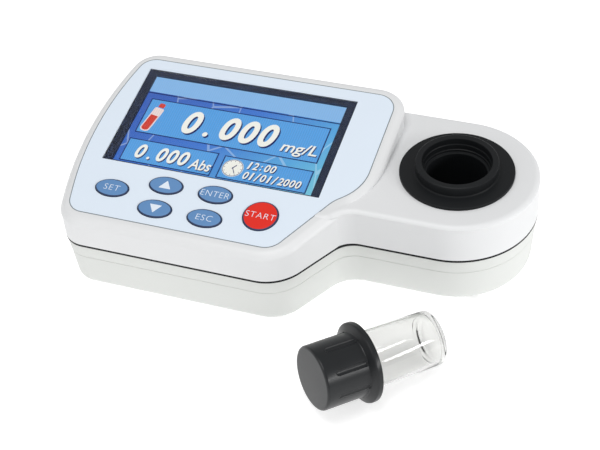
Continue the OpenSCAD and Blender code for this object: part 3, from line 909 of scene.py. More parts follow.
@dataclass(frozen=True)
class Sizes:
    """The housing's driving sizes, in millimetres and degrees."""

    end_r: float = 36
    well_to_block: float = 30
    block_len: float = 140.5
    front_reach: float = 69
    neck_x: float = 40
    neck_angle: float = 60
    bow_r: float = 172
    bow_y: float = 14
    bow_angle: float = 13.5
    seam: float = 27.5
    seal: float = 1.2
    platform: float = 46.9
    block_front: float = 42.3
    wall: float = 2.5
    block_edge: float = 4.5
    platform_edge: float = 3
    bottom_edge: float = 5
    upper_draft: float = 1.2
    lower_draft: float = 3.5
    lower_step: float = 0.3
    foot: float = 1
    window: Point = (103.3, 57.8)
    screen: Point = (95.04, 53.86)
    key: Point = (15.9, 9.6)
    start_key: float = 15.6
    key_pitch: float = 23.43
    row_pitch: float = 13.4
    key_gap: float = 0.25
    key_row: float = 21.3
    key_shift: float = 4.65

    @property
    def slope(self) -> float:
        """The display face's slope in radians, from the direction in which a key travels."""
        axis = next(j for j in frame["joints"] if j["name"] == "key_set_press")["axis"]
        return math.atan2(axis[1], -axis[2])

    @property
    def left(self) -> float:
        """The housing's left end."""
        return -self.well_to_block - self.block_len

    @property
    def display_x(self) -> float:
        """The middle of the display along X."""
        return self.left + self.block_len / 2 - 3.85

    @property
    def display_v(self) -> float:
        """The middle of the display, up the slope from the front edge."""
        return self.up_slope(self.end_r - 41)

    @property
    def window_v(self) -> float:
        """The middle of the window, up the slope from the front edge."""
        return self.display_v + 0.9

    def up_slope(self, y: float) -> float:
        """A distance up the slope from a place along Y."""
        return (y + self.front_reach) / math.cos(self.slope)

    def face(self, y: float) -> float:
        """The height of the display face over a place along Y."""
        return self.block_front + (y + self.front_reach) * math.tan(self.slope)

    def on_face(self, x: float = 0, v: float = 0, level: float = 0) -> Matrix:
        """A place on the display face: x stays, v runs up the slope, and z stands on it."""
        start = Matrix.Translation(Vector((0, -self.front_reach, self.block_front)) * MM)
        return start @ Matrix.Rotation(self.slope, 4, "X") @ Matrix.Translation(Vector((x, v, level)) * MM)

    def draft(self, level: float) -> float:
        """How far the wall stands inside the seam's outline at a height."""
        lean = self.upper_draft if level > self.seam else self.lower_draft
        return (self.seam - level) * math.tan(math.radians(lean))

    def bow(self, front: float, back: float, margin: float, corner: float) -> list[Triple]:
        """The bowed left wall between a front and a back line: two corners and the middle point.

        Args:
            front: The front line along Y.
            back: The back line along Y.
            margin: How far inside the wall.
            corner: The two corners' radius.

        Returns:
            Three corners as x, y and radius.
        """
        angle = math.radians(self.bow_angle)
        radius = self.bow_r - margin
        tip = self.left + self.bow_r - radius / math.cos(angle)
        return [(tip + (back + self.bow_y) * math.tan(angle), back, corner), (tip, -self.bow_y, radius),
                (tip - (front + self.bow_y) * math.tan(angle), front, corner)]

    @property
    def front_corner(self) -> Triple:
        """The block's front right corner."""
        rise = self.front_reach - self.end_r
        return (-self.neck_x - rise / math.tan(math.radians(self.neck_angle)), -self.front_reach, 20)

    def body_outline(self) -> Outline:
        """The outline of the whole housing at the seam.

        Returns:
            The outline.
        """
        return Outline([self.front_corner, (-self.neck_x, -self.end_r, 12),
                        (self.end_r, -self.end_r, self.end_r), (self.end_r, self.end_r, self.end_r),
                        *self.bow(-self.front_reach, self.end_r, 0, 12.5)])

    def block_outline(self) -> Outline:
        """The outline of the display block at the seam.

        Returns:
            The outline.
        """
        right_y = -self.end_r + (self.neck_x - self.well_to_block) * math.tan(math.radians(self.neck_angle))
        return Outline([self.front_corner, (-self.well_to_block, right_y, 53),
                        (-self.well_to_block, self.end_r, 14.5),
                        *self.bow(-self.front_reach, self.end_r, 0, 12.5)])

    def platform_outline(self) -> Outline:
        """The outline of the low platform, whose left end is buried in the block.

        Returns:
            The outline.
        """
        lean = math.radians(self.neck_angle - 3.4)
        return Outline([(-self.neck_x - 25 * math.cos(lean), -self.end_r - 25 * math.sin(lean), 8),
                        (-self.neck_x, -self.end_r, 12), (self.end_r, -self.end_r, self.end_r),
                        (self.end_r, self.end_r, self.end_r), (-self.well_to_block - 26, self.end_r, 8),
                        (-self.neck_x - 24, 0, 8)])

    def ring(self, outline: Outline, height: Callable[[float], float], inset: float) -> Ring:
        """One ring of the drafted wall, at a height that may change along Y.

        Args:
            outline: The outline at the seam.
            height: The height over a place along Y.
            inset: How far inside the wall.

        Returns:
            The ring's points.
        """
        made = []
        for corner, share in outline.spokes():
            guess = corner.at(share, inset)
            point = corner.at(share, inset + self.draft(height(guess.y)))
            made.append((point.x, point.y, height(point.y)))
        return made

    def key_spots(self) -> dict[str, Point]:
        """Each key's place on the display face.

        Returns:
            Each key's node with its place across and up the slope.
        """
        column = [self.display_x - self.key_shift + (i - 1.5) * self.key_pitch for i in range(4)]
        high, low = self.key_row + self.row_pitch / 2, self.key_row - self.row_pitch / 2
        return {"key_set": (column[0], self.key_row), "key_up": (column[1], high),
                "key_down": (column[1], low), "key_enter": (column[2], high),
                "key_esc": (column[2], low), "key_start": (column[3], self.key_row)}

    def oval(self, name: str, grow: float, steps: int = 64) -> list[Point]:
        """A key's outline, grown by a margin, round the origin.

        Args:
            name: The key's node.
            grow: The margin.
            steps: How many points it has.

        Returns:
            The points.
        """
        width, height = self.key if name != "key_start" else (self.start_key, self.start_key)
        turn = [2 * math.pi * i / steps for i in range(steps)]
        return [((width / 2 + grow) * math.cos(a), (height / 2 + grow) * math.sin(a)) for a in turn]


def settle(piece: Object, body: str, finish: Union[bpy.types.Material, Sequence[bpy.types.Material]],
           replaces: Sequence[str] = ()) -> Object:
    """Gives a finished piece its material, its body and the nodes it stands for.

    Args:
        piece: The piece.
        body: The body that it rides on.
        finish: One material, or several in the order of the slots.
        replaces: The nodes that it stands for.

    Returns:
        The same piece.
    """
    materials = [finish] if isinstance(finish, bpy.types.Material) else list(finish)
    while len(piece.data.materials) < len(materials):
        piece.data.materials.append(None)
    for index, material in enumerate(materials):
        piece.data.materials[index] = material
    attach(piece, body)
    if replaces:
        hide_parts(*replaces)
    log.info("%s: %d faces, rides on %s", piece.name, len(piece.data.polygons), body)
    return piece


# ---------------------------------------------------------------- Housing


@dataclass
class Housing:
    """The two shells, their screws' bosses, the feet and the battery cover."""

    sizes: Sizes = field(default_factory=Sizes)
    round_steps: int = 8
    seam_line: float = 20.0
    seam_line_depth: float = 0.3
    boss_r: float = 3.3
    screw_r: float = 1.5
    screw_head_r: float = 3.1
    well_hole_r: float = 18.15
    foot_r: float = 6
    foot_sink: float = 0.8
    bay_rim: float = 1.4
    cover_gap: float = 0.15
    upper: Moulded = Moulded("white_shell", srgb(225, 226, 227), 0.42, 0.4, 0.010, 0.012)
    # Painted shade: the lower shell's white is a shade darker than the upper shell's, standing for the shade
    # on the sides; the battery cover takes it too.
    lower: Moulded = Moulded("white_shell_lower", srgb(218, 220, 217), 0.44, 0.4, 0.010, 0.012)
    seal: Moulded = Moulded("seam_rubber", srgb(24, 25, 27), 0.6, 0.5, 0.02, 0.1, 0.0, 0.2)
    rubber: Moulded = Moulded("foot_rubber", srgb(46, 46, 48), 0.75, 0.5, 0.03, 0.12)

    def rounded_top(self, name: str, outline: Outline, bottom: float, top: Callable[[float], float],
                    inset: float, edge: float, lip: float = 0.0) -> Object:
        """A solid with a flat bottom and a rounded upper edge.

        Args:
            name: The solid's name.
            outline: The outline at the seam.
            bottom: The height of its bottom.
            top: The height of its top over a place along Y.
            inset: How far it stands inside the outline.
            edge: The upper edge's radius.
            lip: The lower edge's small radius.

        Returns:
            The solid.
        """
        rings = []
        if lip:
            rings.append(self.sizes.ring(outline, lambda y: bottom, inset + lip))
            rings.append(self.sizes.ring(outline, lambda y: bottom + lip * 0.5, inset + lip * 0.13))
            bottom += lip
        rings.append(self.sizes.ring(outline, lambda y: bottom, inset))
        for step in range(self.round_steps + 1):
            angle = math.pi / 2 * step / self.round_steps
            drop, draw = edge * (1 - math.sin(angle)), edge * (1 - math.cos(angle))
            rings.append(self.sizes.ring(outline, lambda y: top(y) - drop, inset + draw))
        return Bench.stack(name, rings)

    def screw_spots(self) -> list[Point]:
        """Where the six housing screws stand.

        Returns:
            Each screw's x and y.
        """
        s = self.sizes
        return [(s.left + 13.5, -s.front_reach + 15), (s.left + 10.3, s.bow_y),
                (s.front_corner[0] - 6, -s.front_reach + 11), (-s.well_to_block - 10, s.end_r - 12),
                (0.4 * s.end_r, -0.7 * s.end_r), (0.4 * s.end_r, 0.7 * s.end_r)]

    def overlay_outline(self, grow: float) -> list[Point]:
        """The front film's outline on the display face, grown by a margin.

        Args:
            grow: The margin.

        Returns:
            The points, across and up the slope.
        """
        s, margin = self.sizes, 5.5
        steep = math.tan(math.radians(s.neck_angle))
        front, bend_y = -s.front_reach + margin, -s.end_r + 2.8
        start_x = s.front_corner[0] + margin / steep - 6.3 / math.sin(math.radians(s.neck_angle))
        bend_x = start_x + (bend_y - front) / steep
        right = -s.well_to_block - 5
        bend_rise = (right - bend_x) * math.tan(math.radians(s.neck_angle - 18))
        points = [(start_x, front, 9), (bend_x, bend_y, 15), (right, bend_y + bend_rise, 22),
                  (right, s.end_r - 5, 9), *s.bow(front, s.end_r - 5, 4.3, 8)]
        outline = Outline([(x, s.up_slope(y), r) for x, y, r in points])
        return [(x, y) for x, y, _ in outline.flat(-grow, 0)]

    def face_tool(self, name: str, points: Sequence[Point], low: float, high: float) -> Object:
        """A cutter that stands on the display face between two levels."""
        tool = Bench.stack(name, [[(x, y, low) for x, y in points], [(x, y, high) for x, y in points]])
        return Bench.place(tool, self.sizes.on_face())

    def window_points(self, grow: float) -> list[Point]:
        """The window's four corners on the display face.

        Args:
            grow: The margin.

        Returns:
            The corners, anticlockwise.
        """
        s = self.sizes
        half_w, half_h = s.window[0] / 2 + grow, s.window[1] / 2 + grow
        return [(s.display_x + i * half_w, s.window_v + j * half_h)
                for i, j in ((-1, -1), (1, -1), (1, 1), (-1, 1))]

    def open_face(self, piece: Object) -> None:
        """Cuts the window's opening and the key holes through a piece.

        Args:
            piece: The shell or the film.
        """
        s = self.sizes
        Bench.combine(piece, self.face_tool("sight", self.window_points(0.1), -5, 5), Cut.REMOVE)
        for name, (x, v) in s.key_spots().items():
            points = [(x + a, v + b) for a, b in s.oval(name, s.key_gap)]
            Bench.combine(piece, self.face_tool("key_hole", points, -5, 5), Cut.REMOVE)

    def build_upper(self) -> Object:
        """The upper shell: block and platform, hollow, with its openings.

        Returns:
            The shell.
        """
        s = self.sizes
        bottom = s.seam + s.seal / 2
        shell = self.rounded_top("case_top", s.block_outline(), bottom, s.face, 0, s.block_edge, 0.1)
        step = self.rounded_top("step", s.platform_outline(), bottom, lambda y: s.platform, 0.02,
                                s.platform_edge, 0.1)
        Bench.combine(shell, step, Cut.JOIN)
        hollow = self.rounded_top("hollow", s.block_outline(), bottom - 1, lambda y: s.face(y) - s.wall,
                                  s.wall, s.block_edge - s.wall + 0.5)
        low = self.rounded_top("low_hollow", s.platform_outline(), bottom - 1, lambda y: s.platform - s.wall,
                               s.wall + 0.3, s.platform_edge - s.wall + 0.5)
        Bench.combine(hollow, low, Cut.JOIN)
        for x, y in self.screw_spots():
            Bench.combine(hollow, Bench.rod("boss", x, y, self.boss_r, bottom - 2, 70), Cut.REMOVE)
        Bench.combine(shell, hollow, Cut.REMOVE)
        Bench.combine(shell, self.face_tool("recess", self.overlay_outline(0.15), -0.3, 5), Cut.REMOVE)
        self.open_face(shell)
        for x, y in self.screw_spots():
            Bench.combine(shell, Bench.rod("pilot", x, y, self.screw_r, bottom - 2, s.seam + 13), Cut.REMOVE)
        well_hole = Bench.rod("well_hole", 0, 0, self.well_hole_r, s.platform - 5, s.platform + 9, 96)
        Bench.combine(shell, well_hole, Cut.REMOVE)
        for node, half_w, half_h in (("switch_body", 9.65, 6.55), ("usb_port", 4.3, 2.4)):
            low_corner, high_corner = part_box(node)
            centre = (low_corner + high_corner) / 2 / MM
            slot = Bench.box("slot", (centre.x - half_w, s.end_r - 5, centre.z - half_h),
                             (centre.x + half_w, s.end_r + 5, centre.z + half_h))
            Bench.combine(shell, slot, Cut.REMOVE)
        Bench.close(shell)
        Bench.smooth(shell, 35, True)
        return settle(shell, "tester", self.upper.material(), ["upper_shell"])

    def lower_rings(self, inset: float, bottom: float, top: float, edge: float, line: bool) -> list[Ring]:
        """The rings of the lower shell's skin, with the thin step line that runs round it.

        Args:
            inset: How far the skin stands inside the outline.
            bottom: The height of its bottom.
            top: The height of its top.
            edge: The lower edge's radius.
            line: Whether it has the step line.

        Returns:
            The rings, from the bottom up.
        """
        s = self.sizes
        outline = s.body_outline()
        step = self.seam_line_depth / 3 if line else 0.0
        rings = []
        for index in range(self.round_steps, -1, -1):
            angle = math.pi / 2 * index / self.round_steps
            level = bottom + edge * (1 - math.sin(angle))
            rings.append(s.ring(outline, lambda y: level, inset + step + edge * (1 - math.cos(angle))))
        if line:
            deep = self.seam_line_depth
            for rise, draw in ((-0.25, step), (-0.12, deep), (0.12, deep), (0.25, 0)):
                rings.append(s.ring(outline, lambda y: self.seam_line + rise, inset + draw))
            rings.append(s.ring(outline, lambda y: top - 0.25, inset))
            rings.append(s.ring(outline, lambda y: top, inset + 0.15))
        else:
            rings.append(s.ring(outline, lambda y: top, inset))
        return rings

    def build_lower(self) -> Object:
        """The lower shell: hollow, with bosses, battery bay, foot seats and screw wells.

        Returns:
            The shell.
        """
        s = self.sizes
        top = s.seam - s.seal / 2
        floor = s.foot + s.wall
        shell = Bench.stack("case_bottom", self.lower_rings(s.lower_step, s.foot, top, s.bottom_edge, True))
        hollow = Bench.stack("hollow", self.lower_rings(s.lower_step + s.wall, floor, top + 1,
                                                        s.bottom_edge - s.wall, False))
        for x, y in self.screw_spots():
            Bench.combine(hollow, Bench.rod("boss", x, y, self.boss_r + 0.9, s.foot, 60), Cut.REMOVE)
        for side in (-1, 1):
            Bench.combine(hollow, Bench.rod("rest", side * 22, 0, 4, s.foot, 20), Cut.REMOVE)
        Bench.combine(shell, hollow, Cut.REMOVE)
        for x, y in self.screw_spots():
            Bench.combine(shell, Bench.rod("shank", x, y, self.screw_r + 0.2, -1, 60), Cut.REMOVE)
            Bench.combine(shell, Bench.rod("head", x, y, self.screw_head_r, -1, 12), Cut.REMOVE)
        for x, y, radius in self.foot_spots():
            seat = Bench.rod("seat", x, y, radius + 0.1, -1, s.foot + self.foot_sink, 64)
            Bench.combine(shell, seat, Cut.REMOVE)
        tray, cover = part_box("battery_tray"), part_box("battery_cover")
        rim, gap = self.bay_rim, self.cover_gap
        bay = Bench.box("bay", (tray[0].x / MM + rim, tray[0].y / MM + rim, 0),
                        (tray[1].x / MM - rim, tray[1].y / MM - rim, floor + 1))
        Bench.combine(shell, bay, Cut.REMOVE)
        ledge = Bench.box("ledge", (cover[0].x / MM - gap, cover[0].y / MM - gap, -1),
                          (cover[1].x / MM + gap, cover[1].y / MM + gap, cover[1].z / MM + 0.05))
        Bench.combine(shell, ledge, Cut.REMOVE)
        Bench.close(shell)
        Bench.smooth(shell, 35, True)
        return settle(shell, "tester", self.lower.material(), ["lower_shell"])

    def build_gasket(self) -> Object:
        """The dark gasket that shows as a line between the shells.

        Returns:
            The gasket.
        """
        s = self.sizes
        outline, low, high = s.body_outline(), s.seam - s.seal / 2, s.seam + s.seal / 2
        levels = ((low, 0.12), (low + 0.08, 0.05), (high - 0.08, 0.05), (high, 0.12))
        gasket = Bench.stack("seam_gasket", [outline.flat(inset, level) for level, inset in levels])
        core = Bench.stack("core", [outline.flat(s.wall, low - 1), outline.flat(s.wall, high + 1)])
        Bench.combine(gasket, core, Cut.REMOVE)
        Bench.smooth(gasket, 35)
        return settle(gasket, "tester", self.seal.material(), ["seam_seal"])

    def foot_spots(self) -> list[Triple]:
        """Each foot as x, y and radius.

        Returns:
            The five feet.
        """
        s = self.sizes
        return [(s.left + 19.5, -s.front_reach + 33, self.foot_r), (s.left + 20.5, s.end_r - 16, self.foot_r),
                (s.front_corner[0] - 3, -s.front_reach + 29, self.foot_r),
                (-s.well_to_block - 22, s.end_r - 16, self.foot_r), (0, 0, self.foot_r + 2)]

    def build_feet(self) -> None:
        """Five soft feet, each with a rounded rim and a shallow dish in its sole."""
        top = self.sizes.foot + self.foot_sink
        rubber = self.rubber.material()
        for index, (x, y, radius) in enumerate(self.foot_spots()):
            foot = Bench.turn(f"foot_{index + 1}", [
                (0, 0.25), (radius - 2.4, 0.25), (radius - 1.7, 0.05), (radius - 1.2, 0),
                (radius - 0.5, 0.03), (radius - 0.12, 0.2), (radius, 0.5), (radius, top), (0, top)], 64)
            Bench.smooth(Bench.place(foot, Matrix.Translation((x * MM, y * MM, 0))), 40)
            settle(foot, "tester", rubber, ["rubber_feet"] if index == 0 else ())

    def build_cover(self) -> Object:
        """The battery cover: rounded edges, five grip ribs and two screw holes.

        Returns:
            The cover.
        """
        low, high = (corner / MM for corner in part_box("battery_cover"))
        cover = Bench.box("bay_cover", low, high)
        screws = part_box("cover_screws")
        reach = 1.9
        for x in (screws[0].x / MM + reach, screws[1].x / MM - reach):
            middle = (low.y + high.y) / 2
            Bench.combine(cover, Bench.rod("hole", x, middle, 1.2, 0, 9), Cut.REMOVE)
            Bench.combine(cover, Bench.rod("sink", x, middle, 2.1, 0, low.z + 0.9), Cut.REMOVE)
        centre = (low.x + high.x) / 2
        for index in range(-2, 3):
            x = centre + index * 3
            groove = Bench.box("groove", (x - 0.6, high.y - 9, low.z - 1), (x + 0.6, high.y - 3, low.z + 0.5))
            Bench.combine(cover, groove, Cut.REMOVE)
        Bench.round_edges(Bench.close(cover), 0.12, 2)
        Bench.smooth(cover, 35, True)
        return settle(cover, "tester", self.lower.material(), ["battery_cover"])

    def build(self) -> None:
        """Builds every piece of the housing."""
        self.build_upper()
        self.build_lower()
        self.build_gasket()
        self.build_feet()
        self.build_cover()


# ---------------------------------------------------------------- Display


@dataclass
class Display:
    """The front film, the window and the lit screen with what it shows."""

    housing: Housing
    film_sink: float = 0.3
    film_rise: float = 0.1
    # The width of the band on the film's top that carries painted edge shade.
    edge_shade_width: float = 0.38
    print_level: float = -1.0
    film: Moulded = Moulded("front_film", srgb(224, 235, 247), 0.38, 0.25, 0.004, 0.008)
    # Painted shade: this grey on the film's rim band and sides stands for the shadow at the film's cut edge
    # in its recess.
    film_edge_shade: Moulded = Moulded("film_border", srgb(120, 130, 136), 0.4, 0.25, 0.004, 0.05)
    border: Moulded = Moulded("window_border", srgb(42, 52, 76), 0.4, 0.4, 0.002, 0.06, 0.0, 0.2)
    navy: Lit = Lit("screen_navy", srgb(18, 36, 100))
    panel: Lit = Lit("screen_panel", srgb(86, 158, 223))
    bar: Lit = Lit("screen_bar", srgb(132, 181, 229), 1.1, 0.03)
    ink: Lit = Lit("screen_ink", srgb(240, 240, 232), 1.1, 0.01)
    red: Lit = Lit("screen_red", srgb(206, 62, 48))
    pink: Lit = Lit("screen_pink", srgb(232, 214, 212))

    @property
    def sizes(self) -> Sizes:
        """The shared sizes."""
        return self.housing.sizes

    def build_film(self) -> Object:
        """The front film, with a band of painted shade along its rim and sides for the shadow at its cut
        edge, and openings for window and keys.

        Returns:
            The film.
        """
        points = self.housing.overlay_outline(0)
        film = Bench.stack("front_film", [[(x, y, -self.film_sink) for x, y in points],
                                          [(x, y, self.film_rise) for x, y in points]])
        Bench.pick(film, Part.FACE, lambda face: face.normal.z > 0.9)
        bpy.ops.mesh.inset(thickness=self.edge_shade_width * MM, depth=0)
        bpy.ops.object.mode_set(mode="OBJECT")
        film.data.materials.append(None)
        film.data.materials.append(None)
        # The rim band and the sides, the four-sided faces, take the painted edge shade.
        for face in film.data.polygons:
            face.material_index = int(len(face.vertices) == 4)
        Bench.place(film, self.sizes.on_face())
        self.housing.open_face(film)
        Bench.smooth(film, 30)
        return settle(film, "tester", [self.film.material(), self.film_edge_shade.material()],
                      ["front_overlay"])

    def build_window(self) -> None:
        """The clear window and the dark border that is printed under it."""
        s = self.sizes
        half_w, half_h = s.window[0] / 2, s.window[1] / 2
        pane = Bench.box("window_pane", (-half_w, -half_h, -0.9), (half_w, half_h, -0.06))
        Bench.round_edges(pane, 0.12, 2)
        Bench.place(pane, s.on_face(s.display_x, s.window_v))
        Bench.smooth(pane, 40)
        settle(pane, "tester", Clear("window_clear", (1, 1, 1), 1.18, 0.01).material(),
               ["display_window"])
        border = Bench.box("window_border", (-half_w, -half_h, -2.45), (half_w, half_h, -0.95))
        Bench.place(border, s.on_face(s.display_x, s.window_v))
        lit_w, lit_h = s.screen[0] / 2, s.screen[1] / 2
        sight = Bench.box("sight", (-lit_w, -lit_h, -5), (lit_w, lit_h, 5))
        Bench.combine(border, Bench.place(sight, s.on_face(s.display_x, s.display_v)), Cut.REMOVE)
        Bench.close(border)
        settle(border, "tester", self.border.material())

    def at(self, across: float, down: float, level: float) -> Matrix:
        """A place on the screen, as shares of its width from the left and of its height from the top.

        Args:
            across: The share from the left.
            down: The share from the top.
            level: The height over the backdrop.

        Returns:
            The place.
        """
        s = self.sizes
        return s.on_face(s.display_x + (across - 0.5) * s.screen[0], s.display_v + (0.5 - down) * s.screen[1],
                         self.print_level + level - 1.2)

    def tile(self, name: str, left: float, top: float, right: float, bottom: float, level: float,
             finish: bpy.types.Material, line: float = 0.0) -> None:
        """A flat field on the screen, with a darker line round it where one is given.

        Args:
            name: The field's name.
            left: Its left side, as a share.
            top: Its top.
            right: Its right side.
            bottom: Its bottom.
            level: Its height over the backdrop.
            finish: Its material.
            line: The width of the line round it, in millimetres.
        """
        s = self.sizes
        width, height = (right - left) * s.screen[0], (bottom - top) * s.screen[1]
        place = self.at((left + right) / 2, (top + bottom) / 2, level)
        if line:
            edge = Bench.box(f"{name}_line", (-width / 2, -height / 2, -0.05), (width / 2, height / 2, 0))
            Bench.round_edges(edge, 0.02, 1)
            settle(Bench.place(edge, place), "tester", self.inks["navy"])
        field_piece = Bench.box(name, (line - width / 2, line - height / 2, 0),
                                (width / 2 - line, height / 2 - line, 0.03))
        Bench.round_edges(field_piece, 0.012, 1)
        settle(Bench.place(field_piece, place), "tester", finish)

    def ink_on(self, ink: Object, across: float, down: float, shade: float) -> None:
        """Puts characters on the screen, with their shadow under them.

        Args:
            ink: The characters.
            across: Their middle from the left.
            down: Their middle from the top.
            shade: The shadow's shift in millimetres.
        """
        shadow = Bench.copy(ink, f"{ink.name}_shade")
        Bench.place(shadow, self.at(across, down, 0.08) @ Matrix.Translation((shade * MM, -shade * MM, 0)))
        settle(shadow, "tester", self.inks["navy"])
        settle(Bench.place(ink, self.at(across, down, 0.14)), "tester", self.inks["ink"])

    def build_screen(self) -> None:
        """The lit screen: backdrop, fields, digits, tube icon and clock."""
        s = self.sizes
        self.inks = {key: finish.material() for key, finish in (
            ("navy", self.navy), ("panel", self.panel), ("bar", self.bar), ("ink", self.ink),
            ("red", self.red), ("pink", self.pink))}
        centre = s.on_face(s.display_x, s.display_v, 0).translation
        glow = ScreenGlow("screen_glow", tuple(centre), s.slope, (s.screen[0] / 2 * MM, s.screen[1] / 2 * MM))
        half_w, half_h = s.window[0] / 2, s.window[1] / 2
        back = Bench.box("screen_back", (-half_w, -half_h, -3.4), (half_w, half_h, -2.5))
        Bench.round_edges(back, 0.1, 1)
        Bench.place(back, s.on_face(s.display_x, s.window_v))
        settle(back, "tester", glow.material(), ["lcd_panel"])
        self.tile("status_bar", 0.0, 0.0, 1.0, 0.175, -0.2, self.inks["bar"])
        self.tile("status_rule", 0.0, 0.182, 1.0, 0.194, -0.2, self.inks["navy"])
        self.tile("main_field", 0.032, 0.25, 0.962, 0.645, -0.2, self.inks["panel"], 0.55)
        self.tile("left_field", 0.026, 0.714, 0.491, 0.965, -0.2, self.inks["panel"], 0.55)
        self.tile("right_field", 0.521, 0.724, 0.964, 0.967, -0.2, self.inks["panel"], 0.55)
        self.ink_on(Bench.typed("reading", "0.000", 9.27, 13.9, 0.2, 0.035), 0.4885, 0.447, 0.75)
        self.ink_on(Bench.lettering("reading_unit", "mg/L", 17.2, 7.8, 0.2, 0.012), 0.855, 0.545, 0.45)
        self.ink_on(Bench.typed("second_reading", "0.000", 5.25, 8.2, 0.2, 0.03), 0.226, 0.843, 0.5)
        self.ink_on(Bench.lettering("second_unit", "Abs", 10.4, 5.9, 0.2, 0.015), 0.428, 0.878, 0.4)
        self.ink_on(Bench.typed("time", "12:00", 2.75, 4.2, 0.2, 0.02), 0.718, 0.79, 0.4)
        self.ink_on(Bench.typed("date", "01/01/2000", 2.72, 4.2, 0.2, 0.02), 0.79, 0.897, 0.4)
        self.build_tube_icon()
        self.build_clock_icon()

    def build_tube_icon(self) -> None:
        """A small slanted test tube, part filled with red."""
        lean = Matrix.Rotation(math.radians(-11), 4, "Z")
        tube_points = Outline([(-2.5, -8.6, 2), (2.5, -8.6, 2), (2.5, 6.2, 0.8), (-2.5, 6.2, 0.8)], 4)
        fill_points = Outline([(-1.9, -8.0, 1.6), (1.9, -8.0, 1.6), (1.9, 1.4, 0.2), (-1.9, 1.4, 0.2)], 4)
        stopper = Outline([(-1.5, 6.6, 0.4), (1.5, 6.6, 0.4), (1.5, 9.2, 0.9), (-1.5, 9.2, 0.9)], 4)
        for name, outline, ink, level in (("tube_icon", tube_points, "pink", 0.0),
                                          ("tube_fill", fill_points, "red", 0.07),
                                          ("tube_stopper", stopper, "red", 0.0)):
            mark = Bench.stack(name, [outline.flat(0, 0), outline.flat(0.02, 0.05)])
            Bench.place(mark, self.at(0.087, 0.463, level) @ lean)
            settle(mark, "tester", self.inks[ink])

    def build_clock_icon(self) -> None:
        """A round clock face with a dark rim, twelve ticks and two hands."""
        radius = 4.9
        face = Bench.turn("clock_face", [
            (0, 0), (radius, 0), (radius, 0.04), (radius - 0.1, 0.06), (0, 0.06)], 48)
        settle(Bench.place(face, self.at(0.585, 0.845, 0.0)), "tester", self.inks["ink"])
        rim = Bench.turn("clock_rim", [(radius - 0.45, 0), (radius - 0.2, 0), (radius - 0.2, 0.03),
                                       (radius - 0.45, 0.03)], 48, True)
        marks = [rim]
        for hour in range(12):
            tick = Bench.box("tick", (-0.1, radius - 1.3, 0), (0.1, radius - 0.7, 0.03))
            marks.append(Bench.place(tick, Matrix.Rotation(math.radians(30 * hour), 4, "Z")))
        for angle, length, wide in ((-35, 2.3, 0.22), (-150, 3.3, 0.16)):
            hand = Bench.box("hand", (-wide, -0.5, 0), (wide, length, 0.03))
            marks.append(Bench.place(hand, Matrix.Rotation(math.radians(angle), 4, "Z")))
        dial = Bench.merge(marks, "clock_marks")
        settle(Bench.place(dial, self.at(0.585, 0.845, 0.07)), "tester", self.inks["navy"])

    def build(self) -> None:
        """Builds every piece of the display."""
        self.build_film()
        self.build_window()
        self.build_screen()


# ---------------------------------------------------------------- Keys


class Legend(Enum):
    """What stands on each key."""

    key_set = "SET"
    key_up = "up"
    key_down = "down"
    key_enter = "ENTER"
    key_esc = "ESC"
    key_start = "START"


